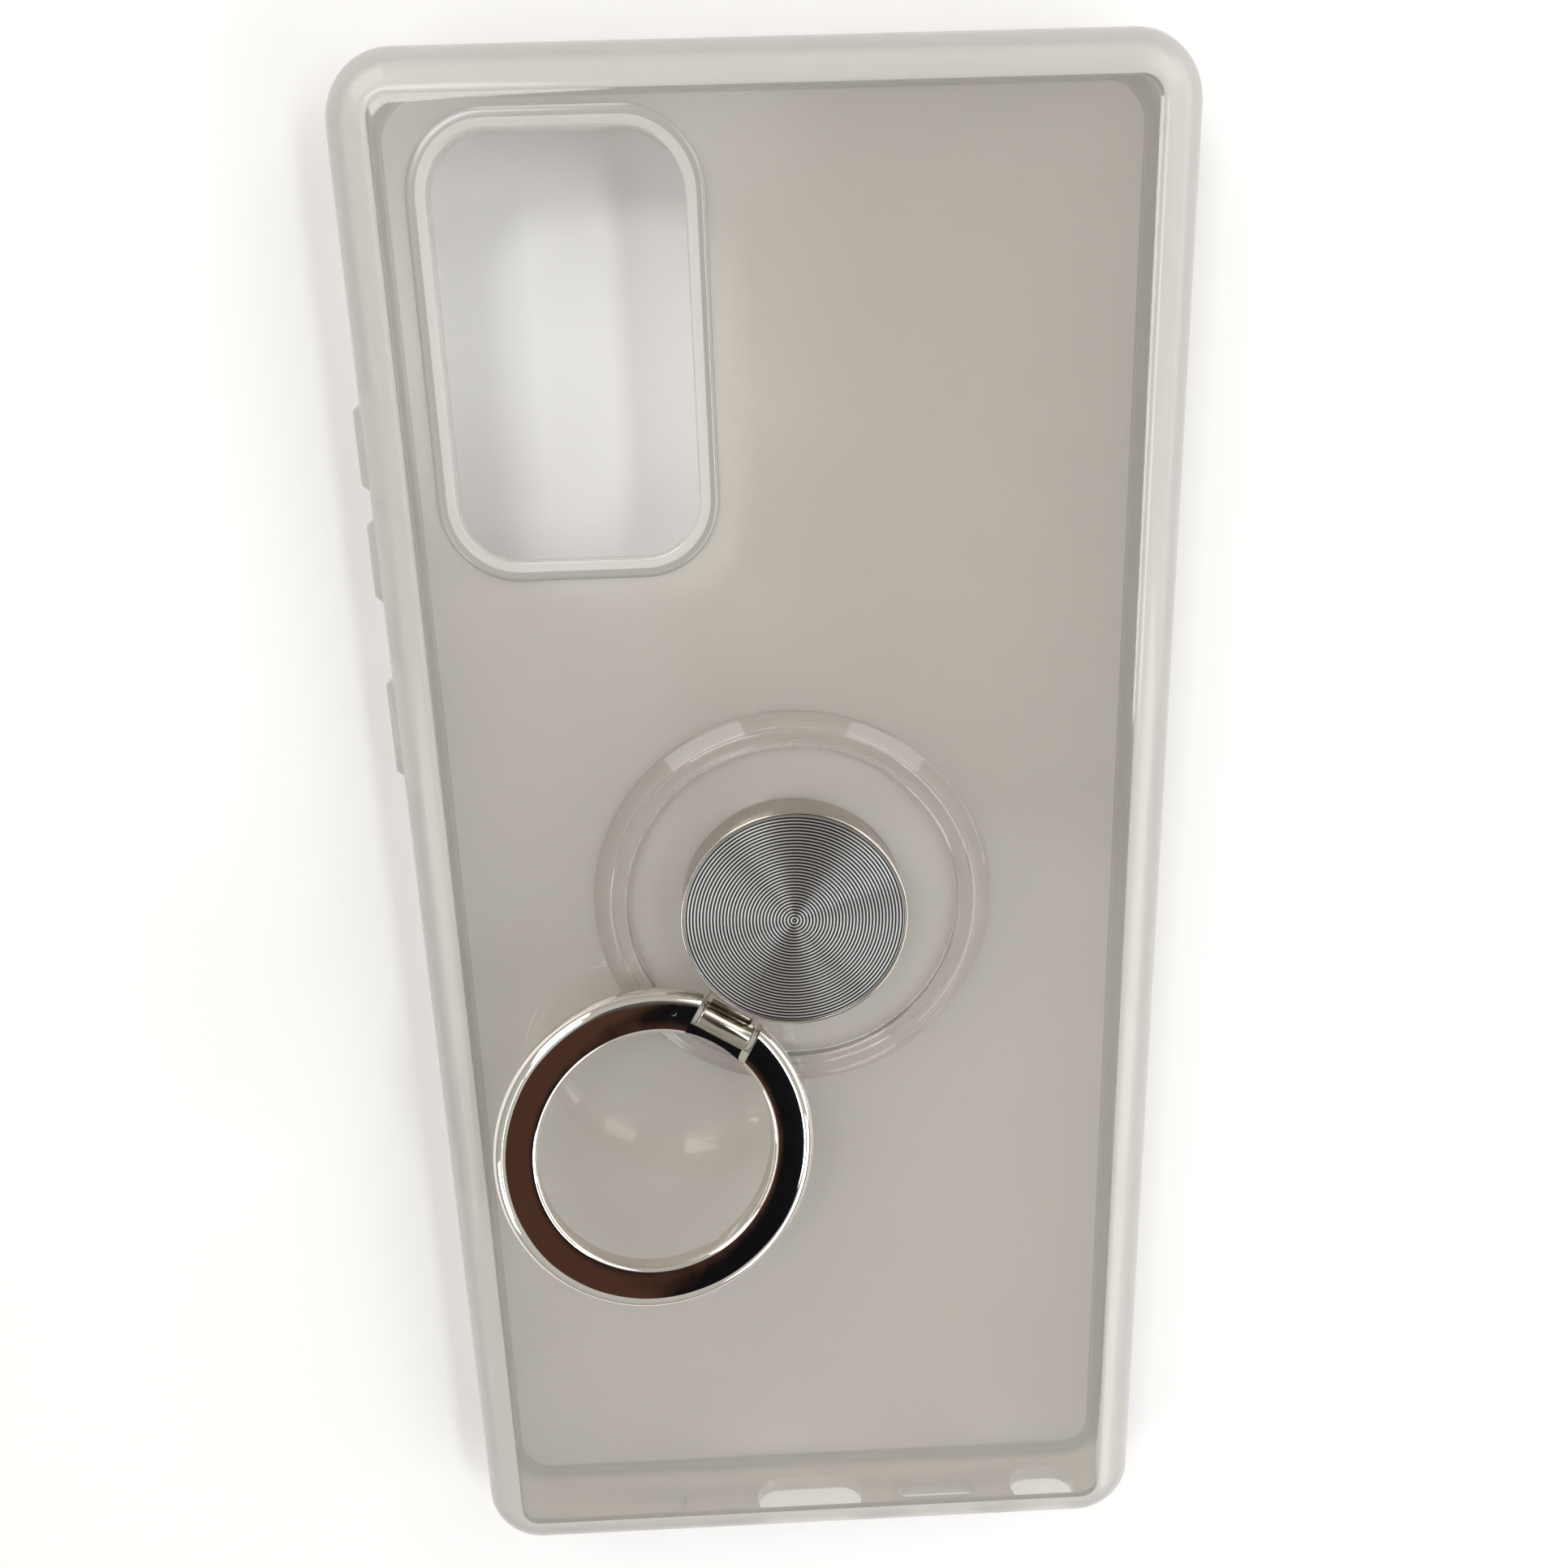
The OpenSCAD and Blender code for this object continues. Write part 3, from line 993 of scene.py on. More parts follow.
@dataclass
class Case:
    """The clear plate, the soft bumper round it, the camera bead and the buttons."""

    corner_r: float = 6.5
    wall_t: float = 1.9
    plate_t: float = 1.5
    band_w: float = 4.5
    lip_t: float = 1.2
    lip_reach: float = 1.3
    back_edge_r: float = 3.8
    crown_run: float = 1.6
    crown_drop: float = 0.08
    crown_lead: float = 1.0
    lip_edge_r: float = 1.6
    pocket_back_r: float = 3.0
    pocket_front_r: float = 1.5
    seam_gap: float = -0.02
    seam_round: float = 0.05
    pocket_front_start: float = -75
    bumper_soft: float = 0.18
    bead_edge_r: float = 0.5
    bead_mouth_r: float = 0.25
    bead_foot_r: float = 0.1
    sleeve_w: float = 1.0
    sleeve_gap: float = 0.06
    cam_w: float = 22.8
    cam_l: float = 37.3
    cam_r: float = 5.5
    button_chamfer: float = 0.8
    button_proud: float = 0.9
    button_h: float = 3.4
    button_gap: float = 0.06
    flange_w: float = 0.8
    flange_t: float = 0.42
    flange_lap: float = 0.1
    flange_pocket: float = 0.9
    pad_round: float = 0.35
    pad_soft: float = 0.2
    cut_depth: float = 6
    slots: tuple[tuple[float, float, float], ...] = ((0, 13.3, 5.4), (16, 10, 2), (29.4, 8.2, 5))
    mics: tuple[tuple[float, int], ...] = ((-16, -1), (-12.3, 1))
    mic_d: float = 1.3
    middle: Vector = field(default_factory=lambda: middle("bumper_frame"))
    size: Vector = field(default_factory=lambda: extent("bumper_frame"))

    @property
    def inner_z(self) -> float:
        """Height of the face that the phone's back lies on."""
        return self.size.z - self.plate_t

    @property
    def port_z(self) -> float:
        """Height of the middle of the phone's edge."""
        return (self.lip_t + self.inner_z) / 2

    @property
    def base(self) -> Vector:
        """Middle of the case's footprint."""
        return Vector((self.middle.x, self.middle.y, 0))

    @property
    def camera(self) -> Vector:
        """Middle of the camera hole, seen from above."""
        return middle("camera_bead") * Vector((1, 1, 0))

    def bumper_section(self) -> list[Point2]:
        """Makes the bumper's section, its outer edge at the corner radius.

        Returns:
            The section's points.
        """
        edge, top, wall = self.corner_r, self.size.z, self.corner_r - self.wall_t
        seam, lip = edge - self.band_w, edge - self.wall_t - self.lip_reach
        small, steps = self.seam_round, 10
        pocket = (wall - self.pocket_back_r, self.inner_z - self.pocket_back_r)
        meet = math.degrees(math.acos((seam - pocket[0]) / self.pocket_back_r))
        points = self.back_edge(seam, top - self.crown_drop, 20)
        points[0] = (seam, points[0][1] - small)
        points += arc(edge - self.lip_edge_r, self.lip_edge_r, self.lip_edge_r, 0, -90, steps)
        points += arc(lip + small, small, small, 270, 180, 3)
        points += arc(lip + small, self.lip_t - small, small, 180, 90, 3)
        points += arc(wall - self.pocket_front_r, self.lip_t + self.pocket_front_r, self.pocket_front_r,
                      self.pocket_front_start, 0, steps)
        points += arc(*pocket, self.pocket_back_r, 0, meet, steps)
        return points

    def back_edge(self, seam: float, start_z: float, steps: int) -> list[Point2]:
        """Makes the long soft curve from the seam over the back edge to the outer wall.

        Args:
            seam: First coordinate of the seam.
            start_z: Height of the curve at the seam.
            steps: Number of chords.

        Returns:
            The curve's points, from the seam outwards.
        """
        centre = seam - self.crown_lead
        reach = self.corner_r - centre
        first = math.acos(self.crown_lead / reach)
        base = start_z - self.back_edge_r * math.sin(first)
        turns = [first * (1 - i / steps) for i in range(steps + 1)]
        return [(centre + reach * math.cos(t), base + self.back_edge_r * math.sin(t)) for t in turns]

    def button_spot(self, node: str) -> Vector:
        """Finds where a button's axis meets the outside of the wall."""
        return Vector((self.middle.x - self.size.x / 2, middle(node).y, self.port_z))

    def window_tools(self, node: str) -> list[Piece]:
        """Makes the bodies that cut a button's window and flange pocket.

        Args:
            node: The button's CAD node.

        Returns:
            The cutting bodies.
        """
        spot = self.button_spot(node)
        length = extent(node).y - 2 * self.flange_w
        gap = 2 * self.button_gap
        opening = Vector((self.cut_depth, length + gap, self.button_h + gap))
        depth, wider = self.flange_pocket + 1, 2 * self.flange_w
        pocket = Vector((depth, opening.y + wider, opening.z + wider))
        inward = Vector((self.wall_t + 1 - depth / 2, 0, 0))
        return [block(opening, Matrix.Translation(spot)),
                block(pocket, Matrix.Translation(spot + inward))]

    def port_tools(self) -> list[Piece]:
        """Makes the bodies that cut the ports and microphone holes in the end walls."""
        tools = []
        end = self.size.y / 2
        half_cut = Vector((0, self.cut_depth / 2, 0))
        for side, width, height in self.slots:
            place = Matrix.Translation(self.base + Vector((side, -end, self.port_z)))
            place @= Matrix.Rotation(math.pi / 2, 4, "X")
            tools.append(prism("slot", stadium(width, height), self.cut_depth, place))
        for side, way in self.mics:
            spot = self.base + Vector((side, way * end, self.port_z))
            tools.append(cylinder(self.mic_d / 2, spot - half_cut, spot + half_cut, 24))
        return tools

    def build_bumper(self) -> None:
        """Builds the soft bumper with its ports and button windows."""
        outline = RoundRect(self.base, self.size.x, self.size.y, self.corner_r)
        bumper = outline.sweep("bumper", self.bumper_section())
        tools = self.port_tools()
        for node in BUTTONS:
            tools += self.window_tools(node)
        combine(bumper, tools, Join.CUT)
        soften(bumper, self.bumper_soft, segments=2, limit=50)
        shade(bumper, 40)
        finish_piece(bumper, BUMPER_FINISH, Body.CASE, Slot.BUMPER, "bumper_frame")

    def build_plate(self, stand: "Stand") -> None:
        """Builds the clear back plate.

        Args:
            stand: The stand, whose seats are cut in the plate.
        """
        shrink = 2 * (self.band_w + self.seam_gap)
        outline = RoundRect(self.base, self.size.x - shrink, self.size.y - shrink,
                            self.corner_r - self.band_w - self.seam_gap)
        low, top, small = self.inner_z, self.size.z, self.seam_round
        layers = [(small, low), (0, low + small), (0, top - self.crown_drop - small)]
        crown_steps = 8
        for k in range(crown_steps + 1):
            inward = k / crown_steps
            first_inset = small / 2 if k == 0 else 0
            layers.append((self.crown_run * inward + first_inset, top - self.crown_drop * (1 - inward) ** 2))
        plate = outline.slab("back_plate", layers)
        wider = 2 * self.sleeve_w + self.sleeve_gap
        hole = RoundRect(self.camera, self.cam_w + wider, self.cam_l + wider, self.cam_r + self.sleeve_w)
        tools = [hole.slab("hole", [(0, low - 1), (0, top + 1)])]
        tools += stand.seat_tools(low)
        combine(plate, tools, Join.CUT)
        shade(plate, 40)
        finish_piece(plate, PLATE_FINISH, Body.CASE, Slot.PLATE, "back_panel")

    def build_bead(self) -> None:
        """Builds the raised bead round the camera hole."""
        low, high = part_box("camera_bead")
        bead_w = extent("camera_bead").x / 2 - self.cam_w / 2
        top = high.z / MM
        inner, sleeve, outer = self.cam_r, self.cam_r + self.sleeve_w, self.cam_r + bead_w
        section = rounded([
            (inner, low.z / MM, self.bead_foot_r), (sleeve, low.z / MM, 0), (sleeve, self.size.z, 0),
            (outer, self.size.z, 0), (outer, top, self.bead_edge_r), (inner, top, self.bead_mouth_r)], 5)
        outline = RoundRect(self.camera, self.cam_w, self.cam_l, self.cam_r)
        bead = outline.sweep("camera_bead_soft", section)
        shade(bead, 40)
        finish_piece(bead, BEAD_FINISH, Body.CASE, Slot.BUMPER, "camera_bead")

    def build_button(self, node: str, body: Body) -> None:
        """Builds one push button with its inner flange.

        Args:
            node: The button's CAD node.
            body: The body that it rides on.
        """
        spot = self.button_spot(node)
        half = extent(node).y / 2 - self.flange_w
        back_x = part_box(node)[1].x / MM - spot.x
        foot_x, face = back_x - self.flange_lap, half - self.button_chamfer
        front = rounded([(-self.button_proud, -face, self.pad_round), (0, -half, 0), (foot_x, -half, 0),
                         (foot_x, half, 0), (0, half, 0), (-self.button_proud, face, self.pad_round)], 4)
        cap = prism(node + "_pad", front, self.button_h, Matrix.Translation(spot))
        sides = Vector((self.flange_t, 2 * (half + self.flange_w), self.button_h + 2 * self.flange_w))
        flange = block(sides, Matrix.Translation(spot + Vector((back_x - self.flange_t / 2, 0, 0))))
        combine(cap, [flange], Join.ADD)
        soften(cap, self.pad_soft)
        shade(cap, 40)
        finish_piece(cap, BUTTON_FINISH, body, Slot.BUMPER, node)

    def build(self, stand: "Stand") -> None:
        """Builds every piece of the case.

        Args:
            stand: The stand that the plate carries.
        """
        self.build_bumper()
        self.build_plate(stand)
        self.build_bead()
        for node, body in BUTTONS.items():
            self.build_button(node, body)


BUTTONS = {"volume_up_button": Body.VOLUME_UP, "volume_down_button": Body.VOLUME_DOWN,
           "power_button": Body.POWER}


# ---------------------------------------------------------------- the stand


@dataclass
class Stand:
    """The collar, the turning drum with its lug, the spun disc and the finger ring."""

    drum_r: float = 11.5
    drum_h: float = 4.95
    skirt_z: float = 0.3
    floor_z: float = 0.83
    floor_t: float = 0.7
    bore_r: float = 4.05
    under_r: float = 8.5
    pocket_r: float = 9.4
    magnet_r: float = 10.2
    rim_r: float = 11.13
    rim_round: float = 0.22
    drum_rounds: tuple[float, ...] = (0.1, 0.15, 0.06, 0.2)
    disc_t: float = 0.5
    film_t: float = 0.15
    magnet_t: float = 1.0
    disc_r: float = 11.05
    disc_drop: float = 0.1
    grooves: int = 33
    groove_depth: float = 0.03
    lug_r: float = 1.3
    lug_w: float = 5.8
    web_t: float = 0.5
    lug_lift: float = 0.01
    cheek_t: float = 0.5
    cheek_top: float = -0.2
    lug_lap: float = 0.6
    lug_soft: float = 0.16
    pin_r: float = 0.79
    ring_in_r: float = 12.1
    ring_out_r: float = 16.5
    ring_t: float = 3.0
    ring_inner_edge: float = 0.55
    ring_outer_edge: float = 1.3
    stake_r: float = 0.36
    stake_depth: float = 0.14
    stake_x: float = 5.6
    stake_spared: float = 1.0
    ring_soft: float = 0.35
    ring_gap: float = 7.0
    bridge_gap: float = 0.12
    bridge_top: float = -0.25
    collar_in_r: float = 17.1
    collar_out_r: float = 20.7
    collar_h: float = 1.5
    collar_lift: float = 0.02
    collar_brow_w: float = 1.6
    collar_edge_w: float = 0.35
    collar_edge_h: float = 0.42
    collar_rounds: tuple[float, ...] = (0.08, 0.1, 0.5, 0.8, 0.3)
    seat_gap: float = 0.02
    spigot_in_r: float = 17.4
    spigot_out_r: float = 18.6
    spigot_d: float = 0.6
    flange_r: float = 8.5
    flange_t: float = 0.5
    neck_r: float = 4.0
    origin: Vector = field(default_factory=lambda: Vector(joint("stand_swivel")["pos_m"]) / MM)
    hinge: Vector = field(default_factory=lambda: Vector(joint("ring_fold")["pos_m"]) / MM)
    fold_axis: Vector = field(default_factory=lambda: Vector(joint("ring_fold")["axis"]))

    @property
    def turned(self) -> Matrix:
        """The drum's frame: the swivel axis at the back's face, with the hinge towards -Y."""
        across = -self.fold_axis.normalized()
        out = Vector((0, 0, 1)).cross(across)
        turn = Matrix((across, out, (0, 0, 1))).transposed().to_4x4()
        return Matrix.Translation(self.origin) @ turn

    @property
    def reach(self) -> float:
        """Distance of the hinge pin from the swivel axis."""
        return (self.hinge - self.origin).to_2d().length

    @property
    def ring_rise(self) -> float:
        """Angle of the ring above the back at rest, in radians."""
        return math.radians(180 - joint("ring_fold")["range_deg"][1])

    @property
    def ring_place(self) -> Matrix:
        """The ring's frame: the middle of the pin, -Y out along the ring."""
        out = Matrix.Translation(self.turned.to_3x3() @ Vector((0, -self.reach, 0)) + self.origin
                                 + Vector((0, 0, self.hinge.z - self.origin.z)))
        return out @ self.turned.to_3x3().to_4x4() @ Matrix.Rotation(-self.ring_rise, 4, "X")

    def seat_tools(self, low: float) -> list[Piece]:
        """Makes the bodies that cut the stand's seats in the plate.

        Args:
            low: Height of the plate's inner face.

        Returns:
            The cutting bodies.
        """
        gap = self.seat_gap
        inside = Vector((self.origin.x, self.origin.y, low))
        under = inside - Vector((0, 0, 1))
        neck = cylinder(self.neck_r + gap, under, inside + Vector((0, 0, 5)))
        flange = cylinder(self.flange_r + gap, under, inside + Vector((0, 0, self.flange_t + gap)), 96)
        near, far, depth = self.spigot_in_r - gap, self.spigot_out_r + gap, self.spigot_d + gap
        groove = lathe("groove", [(near, -depth), (far, -depth), (far, 1), (near, 1)], self.origin, 128)
        return [neck, flange, groove]

    def build_collar(self) -> None:
        """Builds the clear collar that the folded ring lies in."""
        lift = self.collar_lift
        foot_r, spigot_r, edge_r, brow_r, mouth_r = self.collar_rounds
        section = rounded([
            (self.collar_in_r, lift, foot_r), (self.spigot_in_r, lift, 0),
            (self.spigot_in_r, -self.spigot_d, spigot_r), (self.spigot_out_r, -self.spigot_d, spigot_r),
            (self.spigot_out_r, lift, 0), (self.collar_out_r, lift, spigot_r),
            (self.collar_out_r - self.collar_edge_w, self.collar_edge_h, edge_r),
            (self.collar_in_r + self.collar_brow_w, self.collar_h, brow_r),
            (self.collar_in_r, self.collar_h, mouth_r)], 5)
        collar = lathe("clear_collar_ring", section, self.origin, 192)
        shade(collar, 40)
        finish_piece(collar, COLLAR_FINISH, Body.CASE, Slot.PLATE, "ring_collar")

    def drum_section(self) -> list[Point2]:
        """Makes the drum's section, from its bore out to its rim.

        Returns:
            The section's points.
        """
        disc_z = self.drum_h - self.disc_drop - self.disc_t
        film_z = disc_z - self.film_t
        magnet_z = film_z - self.magnet_t
        top = self.floor_z + self.floor_t
        under_round, skirt_round, seat_round, pocket_round = self.drum_rounds
        return rounded([
            (self.bore_r, self.floor_z, 0), (self.under_r, self.floor_z, 0),
            (self.under_r, self.skirt_z, under_round), (self.drum_r, self.skirt_z, skirt_round),
            (self.drum_r, self.drum_h, self.rim_round),
            (self.rim_r, self.drum_h, seat_round), (self.rim_r, film_z, 0), (self.magnet_r, film_z, 0),
            (self.magnet_r, magnet_z, 0), (self.pocket_r, magnet_z, 0), (self.pocket_r, top, pocket_round),
            (self.bore_r, top, 0)], 4)

    def build_drum(self) -> None:
        """Builds the turning drum with its hinge lug."""
        drum = lathe("turning_drum", self.drum_section(), self.origin, 192)
        pin = self.turned @ Matrix.Translation((0, -self.reach, self.hinge.z - self.origin.z))
        half = self.lug_w / 2
        barrel = cylinder(self.lug_r, pin @ Vector((-half, 0, 0)), pin @ Vector((half, 0, 0)), 48)
        soften(barrel, self.lug_soft)
        length = self.reach - self.drum_r + self.lug_lap
        low = -self.lug_r + self.lug_lift
        height = self.cheek_top - low
        lug_at = Matrix.Translation((0, length / 2, low + height / 2))
        lug = block(Vector((self.lug_w - 2 * self.lug_lift, length, height)), pin @ lug_at)
        trough = block(Vector((self.lug_w - 2 * self.cheek_t, 2 * length, height)),
                       pin @ lug_at @ Matrix.Translation((0, 0, self.web_t)))
        combine(lug, [trough], Join.CUT)
        combine(drum, [barrel, lug], Join.ADD)
        past = Vector((half + 1, 0, 0))
        bore = cylinder(self.pin_r, pin @ -past, pin @ past, 32)
        combine(drum, [bore], Join.CUT)
        shade(drum, 35)
        finish_piece(drum, DRUM_FINISH, Body.TURNTABLE, Slot.DRUM, "swivel_drum")

    def build_disc(self) -> None:
        """Builds the spun disc from its node tree."""
        disc = from_tree("spun_disc", spun_disc_tree(), {
            "Radius": self.disc_r * MM, "Thickness": self.disc_t * MM, "Grooves": self.grooves,
            "Groove Depth": self.groove_depth * MM, "Material": DISC_FINISH.material()})
        top = self.origin + Vector((0, 0, self.drum_h - self.disc_drop))
        disc.data.transform(Matrix.Translation(top * MM))
        shade(disc, 60)
        finish_piece(disc, DISC_FINISH, Body.TURNTABLE, Slot.DISC, "disc_inlay")

    def build_ring(self) -> None:
        """Builds the finger ring, notched for the lug and closed by a low bridge."""
        width = self.ring_out_r - self.ring_in_r
        ring = from_tree("finger_loop", swept_ring_tree(), {
            "Radius": (self.ring_in_r + width / 2) * MM, "Width": width * MM, "Height": self.ring_t * MM,
            "Inner Edge": self.ring_inner_edge * MM, "Outer Edge": self.ring_outer_edge * MM,
            "Material": RING_FINISH.material()})
        centre = self.ring_place @ Matrix.Translation((0, -self.reach, 0))
        ring.data.transform(Matrix.Translation(centre.translation * MM) @ centre.to_3x3().to_4x4())
        barrel_reach = self.lug_r + self.bridge_gap
        depth = barrel_reach + width
        through = block(Vector((self.ring_gap, depth, 3 * self.ring_t)),
                        self.ring_place @ Matrix.Translation((0, depth / 2 - barrel_reach, 0)))
        above = block(Vector((self.ring_gap, self.reach, self.ring_t)),
                      self.ring_place @ Matrix.Translation((0, 0, self.bridge_top + self.ring_t / 2)))
        stake_y = math.sqrt((self.ring_in_r + width / 2) ** 2 - self.stake_x ** 2) - self.reach
        spot = Vector((-self.stake_x, stake_y, self.ring_t / 2))
        stake = cylinder(self.stake_r, self.ring_place @ (spot - Vector((0, 0, self.stake_depth))),
                         self.ring_place @ (spot + Vector((0, 0, 1))), 24)
        combine(ring, [through, above, stake], Join.CUT)
        soften(ring, self.ring_soft, 4, 42, (self.ring_place @ spot, self.stake_spared))
        shade(ring, 35)
        finish_piece(ring, RING_FINISH, Body.RING, Slot.RING, "finger_ring")

    def build(self) -> None:
        """Builds every piece of the stand and dresses the CAD nodes that stay in view."""
        self.build_collar()
        self.build_drum()
        self.build_disc()
        self.build_ring()
        for node in ("base_flange", "clamp_washer", "friction_spring", "pivot_rivet", "magnet_plate"):
            dress_node(node, STEEL_FINISH)
        dress_node("bearing_washer", SLIP_FINISH)
        dress_node("hinge_bushes", BUSH_FINISH)
        dress_node("inlay_film", FILM_FINISH)
        dress_node("hinge_pin", RING_FINISH)


# ---------------------------------------------------------------- node trees


def spun_disc_tree() -> ShapeTree:
    """Makes the tree of a disc with concentric grooves in its top face.

    Returns:
        The tree, with the disc's top at height 0.
    """
    turn_steps, groove_steps, weld = 256, 6, 2e-6
    kit = ShapeKit("spun_disc", Radius="Float", Thickness="Float", Grooves="Int", Groove_Depth="Float",
                   Material="Material")
    grid = kit.add("GeometryNodeMeshGrid", Size_X=1, Size_Y=1, Vertices_Y=turn_steps + 1)
    kit.link(kit.math("MULTIPLY_ADD", kit.value("Grooves"), groove_steps, 1), grid.inputs["Vertices X"])
    named = kit.add("GeometryNodeStoreNamedAttribute", data_type="FLOAT2", domain="CORNER", Name="turn")
    flat = kit.split(grid.outputs["UV Map"])
    kit.link(grid.outputs["Mesh"], named.inputs["Geometry"])
    kit.link(kit.vector(X=flat["Y"], Y=flat["X"]), named.inputs["Value"])
    spot = kit.split(kit.add("GeometryNodeInputPosition").outputs[0])
    share = kit.math("ADD", spot["X"], 0.5)
    radius = kit.math("MULTIPLY", share, kit.value("Radius"))
    angle = kit.math("MULTIPLY", kit.math("ADD", spot["Y"], 0.5), 2 * math.pi)
    wave = kit.math("MULTIPLY", kit.math("MULTIPLY", share, kit.value("Grooves")), 2 * math.pi)
    dip = kit.math("MULTIPLY", kit.math("SUBTRACT", kit.math("COSINE", wave), 1), 0.5)
    place = kit.vector(X=kit.math("MULTIPLY", radius, kit.math("COSINE", angle)),
                       Y=kit.math("MULTIPLY", radius, kit.math("SINE", angle)),
                       Z=kit.math("MULTIPLY", dip, kit.value("Groove Depth")))
    top = kit.add("GeometryNodeSetPosition")
    kit.link(named.outputs["Geometry"], top.inputs["Geometry"])
    kit.link(place, top.inputs["Position"])
    wall = kit.add("GeometryNodeMeshCylinder", fill_type="NONE", Vertices=turn_steps)
    floor = kit.add("GeometryNodeMeshCircle", fill_type="NGON", Vertices=turn_steps)
    kit.link(kit.value("Radius"), wall.inputs["Radius"])
    kit.link(kit.value("Thickness"), wall.inputs["Depth"])
    kit.link(kit.value("Radius"), floor.inputs["Radius"])
    parts = [top]
    for mesh, factor in ((wall, -0.5), (floor, -1)):
        shift = kit.add("GeometryNodeTransform")
        kit.link(mesh.outputs["Mesh"], shift.inputs["Geometry"])
        drop = kit.math("MULTIPLY", kit.value("Thickness"), factor)
        kit.link(kit.vector(Z=drop), shift.inputs["Translation"])
        parts.append(shift)
    joined = kit.add("GeometryNodeJoinGeometry")
    for part in parts:
        kit.link(part.outputs["Geometry"], joined.inputs["Geometry"])
    merge = kit.add("GeometryNodeMergeByDistance", Distance=weld)
    kit.link(joined.outputs["Geometry"], merge.inputs["Geometry"])
    return kit.close(merge.outputs["Geometry"])


def swept_ring_tree() -> ShapeTree:
    """Makes the tree of a ring with a rounded rectangular section.

    Returns:
        The tree, with the ring's middle at the origin.
    """
    turn_steps, corner_steps = 200, 7
    kit = ShapeKit("swept_ring", Radius="Float", Width="Float", Height="Float", Inner_Edge="Float",
                   Outer_Edge="Float", Material="Material")
    path = kit.add("GeometryNodeCurvePrimitiveCircle", Resolution=turn_steps)
    section = kit.add("GeometryNodeCurvePrimitiveQuadrilateral")
    fillet = kit.add("GeometryNodeFilletCurve", mode="POLY", Count=corner_steps)
    sweep = kit.add("GeometryNodeCurveToMesh")
    kit.link(kit.value("Radius"), path.inputs["Radius"])
    kit.link(kit.value("Height"), section.inputs["Height"])
    kit.link(kit.value("Width"), section.inputs["Width"])
    kit.link(section.outputs["Curve"], fillet.inputs["Curve"])
    spot = kit.split(kit.add("GeometryNodeInputPosition").outputs[0])
    spare = kit.math("SUBTRACT", kit.value("Outer Edge"), kit.value("Inner Edge"))
    extra = kit.math("MULTIPLY", kit.math("GREATER_THAN", spot["X"], 0), spare)
    kit.link(kit.math("ADD", kit.value("Inner Edge"), extra), fillet.inputs["Radius"])
    kit.link(path.outputs["Curve"], sweep.inputs["Curve"])
    kit.link(fillet.outputs["Curve"], sweep.inputs["Profile Curve"])
    return kit.close(sweep.outputs["Mesh"])


def from_tree(name: str, tree: ShapeTree, values: dict[str, object]) -> Piece:
    """Runs a node tree and keeps the result as a plain mesh.

    Args:
        name: Name of the object.
        tree: The node tree.
        values: The tree's inputs by name.

    Returns:
        The object, with no modifier left.
    """
    piece = new_object(name, bpy.data.meshes.new(name))
    modifier = piece.modifiers.new(name, "NODES")
    modifier.node_group = tree
    for item in tree.interface.items_tree:
        if item.in_out == "INPUT" and item.name in values:
            modifier[item.identifier] = values[item.name]
    settle(piece)
    with editing(piece) as shape:
        bmesh.ops.recalc_face_normals(shape, faces=shape.faces)
    return piece


# ---------------------------------------------------------------- studio


@dataclass(frozen=True)
class SoftBox:
    """An area light that points at the case."""

    name: str
    place: tuple[float, float, float]
    width: float
    height: float
    power: float
    colour: Colour = (1, 1, 1)

    def build(self, target: Vector) -> None:
        """Puts the light in the scene.

        Args:
            target: The point that it faces, in metres.
        """
        data = bpy.data.lights.new(self.name, "AREA")
        data.shape = "RECTANGLE"
        data.size = self.width
        data.size_y = self.height
        data.energy = self.power
        data.color = self.colour
        light = bpy.data.objects.new(self.name, data)
        light.location = self.place
        light.rotation_euler = (target - light.location).to_track_quat("-Z", "Y").to_euler()
        bpy.context.scene.collection.objects.link(light)


@dataclass(frozen=True)
class CeilingPatch:
    """A soft-edged dark patch overhead, given by the middle and reach of its directions."""

    x: float
    y: float
    reach_x: float
    reach_y: float
    edge: float
    colour: Colour


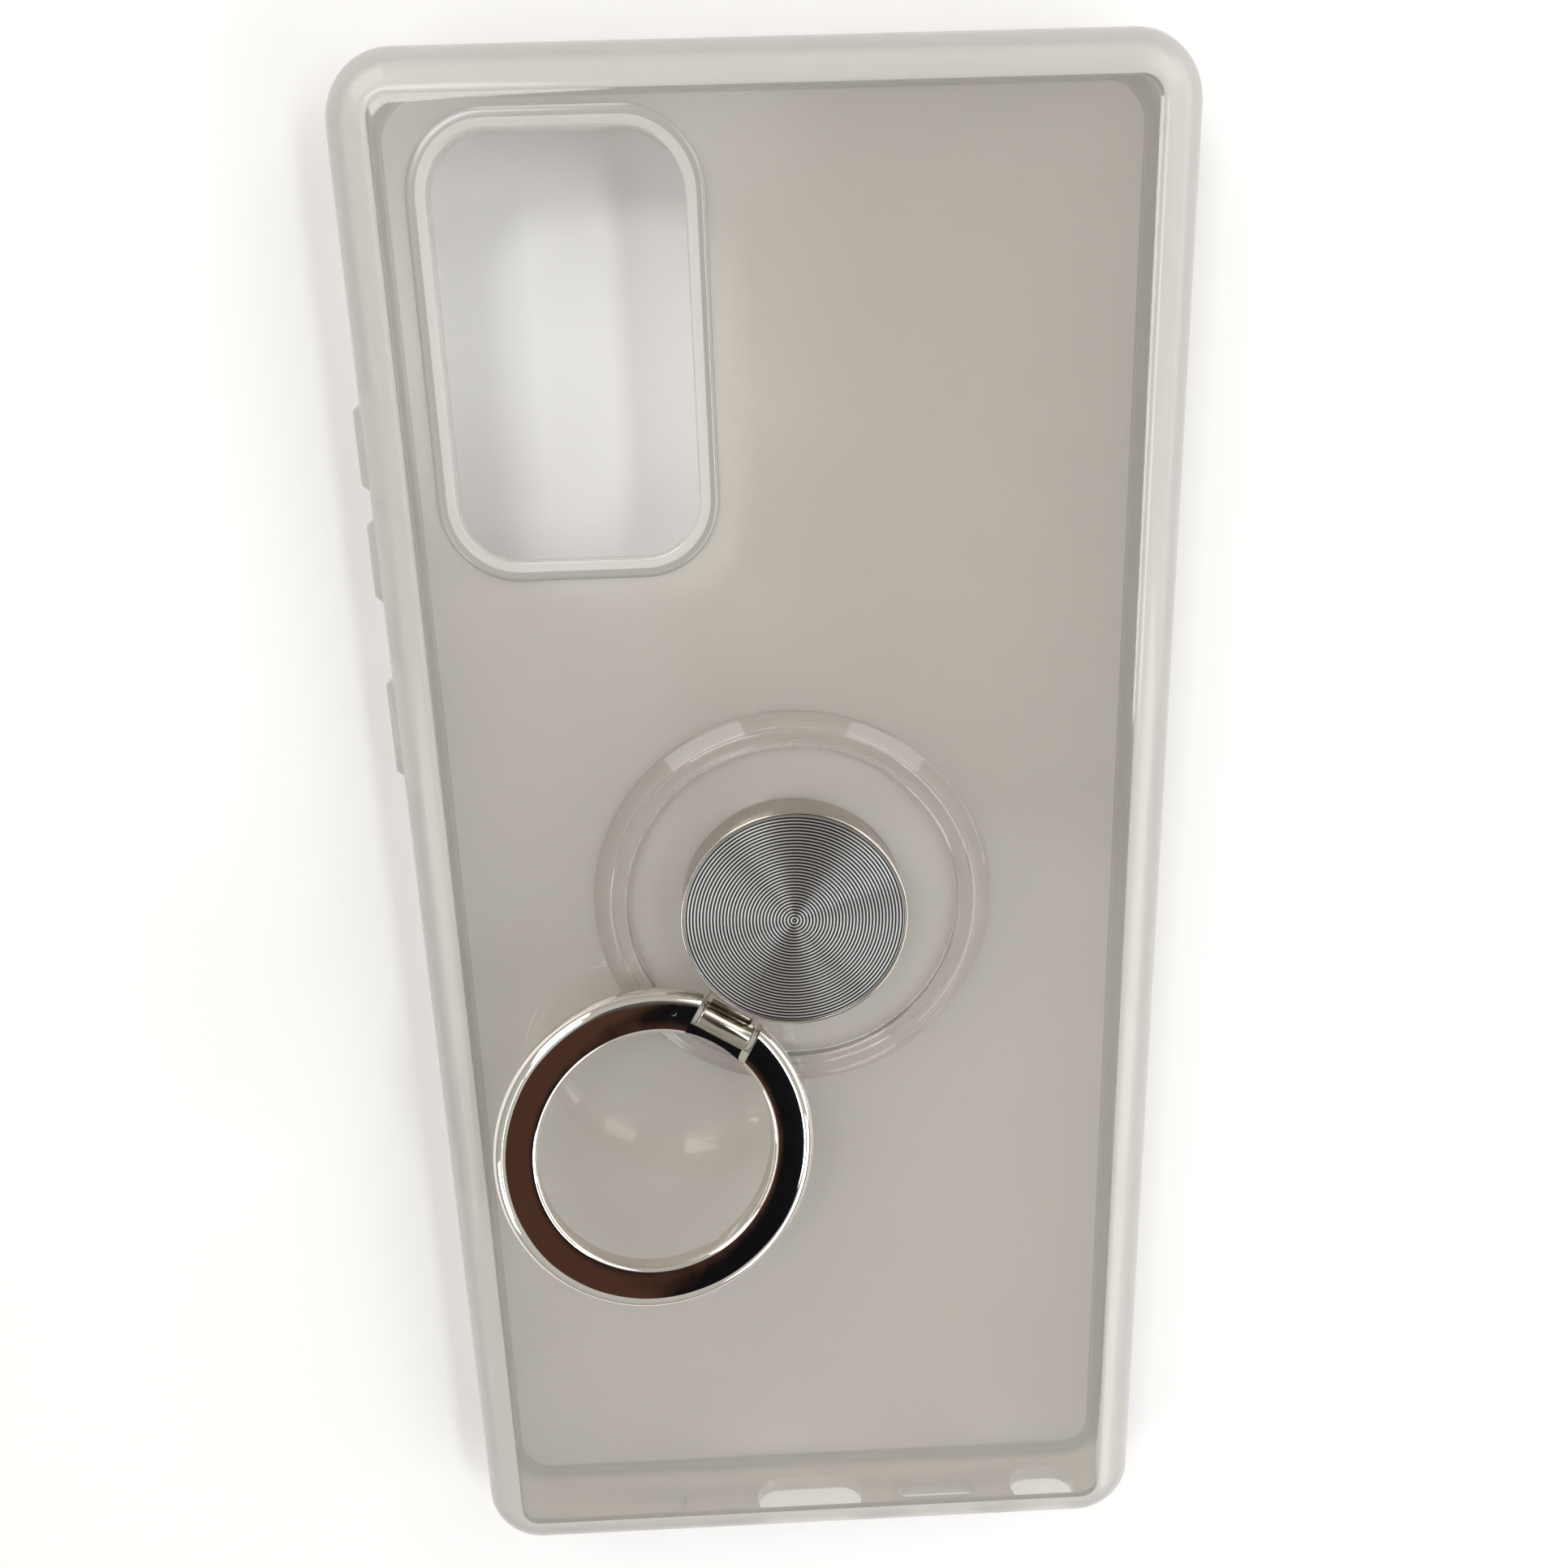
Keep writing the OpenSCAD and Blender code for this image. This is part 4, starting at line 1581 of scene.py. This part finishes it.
@dataclass
class Studio:
    """The camera, the floor, the lights and the surroundings that the metal mirrors."""

    camera_place: Vector = field(default_factory=lambda: Vector((-2.75, 51.3, 134.3)))
    camera_turn: tuple[float, float, float] = (0.289, 0.031, 0.031)
    focal: float = 29.16
    low_room: Colour = (0.42, 0.405, 0.385)
    high_room: Colour = (0.56, 0.545, 0.52)
    room_rise: Point2 = (0.1, 0.9)
    target: Vector = field(default_factory=lambda: Vector((0, 0, 0.01)))
    floor_half: float = 1500
    floor_tones: tuple[Colour, Colour] = ((0.86, 0.855, 0.85), (0.89, 0.885, 0.88))
    patches: tuple[CeilingPatch, ...] = (
        CeilingPatch(0.24, 0.16, 0.20, 0.26, 0.06, (0.10, 0.095, 0.09)),
        CeilingPatch(0.14, -0.08, 0.20, 0.25, 0.03, (0.073, 0.034, 0.023)),
        CeilingPatch(0.38, -0.08, 0.18, 0.25, 0.03, (0.006, 0.006, 0.007)),
    )
    boxes: tuple[SoftBox, ...] = (
        SoftBox("window_right", (0.60, -0.42, 0.46), 0.75, 0.28, 2.4, (0.95, 0.97, 1.0)),
        SoftBox("high_right", (0.53, 0.03, 0.85), 0.50, 0.13, 2.0, (0.93, 0.96, 1.0)),
        SoftBox("high_left", (-0.50, -0.02, 0.86), 0.70, 0.035, 0.5, (1.0, 0.99, 0.97)),
        SoftBox("overhead", (-0.30, 0.47, 0.85), 0.35, 0.25, 2.1, (1.0, 0.99, 0.97)),
        SoftBox("window_left", (-0.60, -0.30, 0.48), 0.35, 0.30, 0.9, (0.97, 0.98, 1.0)),
        SoftBox("high_back", (0.62, 0.62, 0.55), 0.5, 0.5, 1.6, (1.0, 0.99, 0.98)),
        SoftBox("top_fill", (-0.50, 0.70, 0.50), 0.5, 0.4, 1.7, (1.0, 0.99, 0.97)),
        SoftBox("low_right", (0.80, 0.25, 0.16), 0.90, 0.20, 1.3, (0.96, 0.98, 1.0)),
    )

    def build_camera(self) -> None:
        """Makes the camera, which looks down on the back from past the case's upper half."""
        data = bpy.data.cameras.new("camera")
        data.lens = self.focal
        data.sensor_width = 36
        data.clip_start = 0.005
        data.clip_end = 20
        camera = bpy.data.objects.new("camera", data)
        turn_x, turn_y, turn_z = self.camera_turn
        seen = (Matrix.Rotation(turn_x, 3, "X") @ Matrix.Rotation(turn_y, 3, "Y")
                @ Matrix.Rotation(turn_z, 3, "Z"))
        camera.rotation_euler = seen.transposed().to_euler()
        camera.location = self.camera_place * MM
        bpy.context.scene.collection.objects.link(camera)
        bpy.context.scene.camera = camera

    def build_floor(self) -> None:
        """Makes the pale floor that the case lies on."""
        shape = bmesh.new()
        bmesh.ops.create_grid(shape, x_segments=1, y_segments=1, size=self.floor_half)
        floor = from_bmesh("floor", shape)
        kit = MaterialKit("pale_floor")
        kit.constant(Roughness=0.75)
        tone = kit.spread(kit.noise(6), 0, 1)
        kit.drive("Base Color", kit.blend(tone, *self.floor_tones))
        floor.data.materials.append(kit.material)

    def build_world(self) -> None:
        """Makes pale surroundings with soft darker patches overhead."""
        kit = WorldKit("studio")
        height = kit.spread(kit.parts["Z"], 0, 1, *self.room_rise, Ramp.SMOOTH)
        colour = kit.blend(height, self.low_room, self.high_room)
        for patch in self.patches:
            colour = kit.blend(kit.mask(patch), colour, patch.colour)
        kit.link(colour, kit.tree.nodes["Background"].inputs["Color"])

    def build(self) -> None:
        """Builds the whole studio."""
        self.build_camera()
        self.build_floor()
        self.build_world()
        for box in self.boxes:
            box.build(self.target)
        bpy.context.scene.view_settings.view_transform = "Standard"


def main() -> None:
    """Builds the studio and every piece of the phone case."""
    logging.basicConfig(level=logging.INFO, format="%(name)s: %(message)s")
    Studio().build()
    stand = Stand()
    Case().build(stand)
    stand.build()


if __name__ == "__main__":
    main()
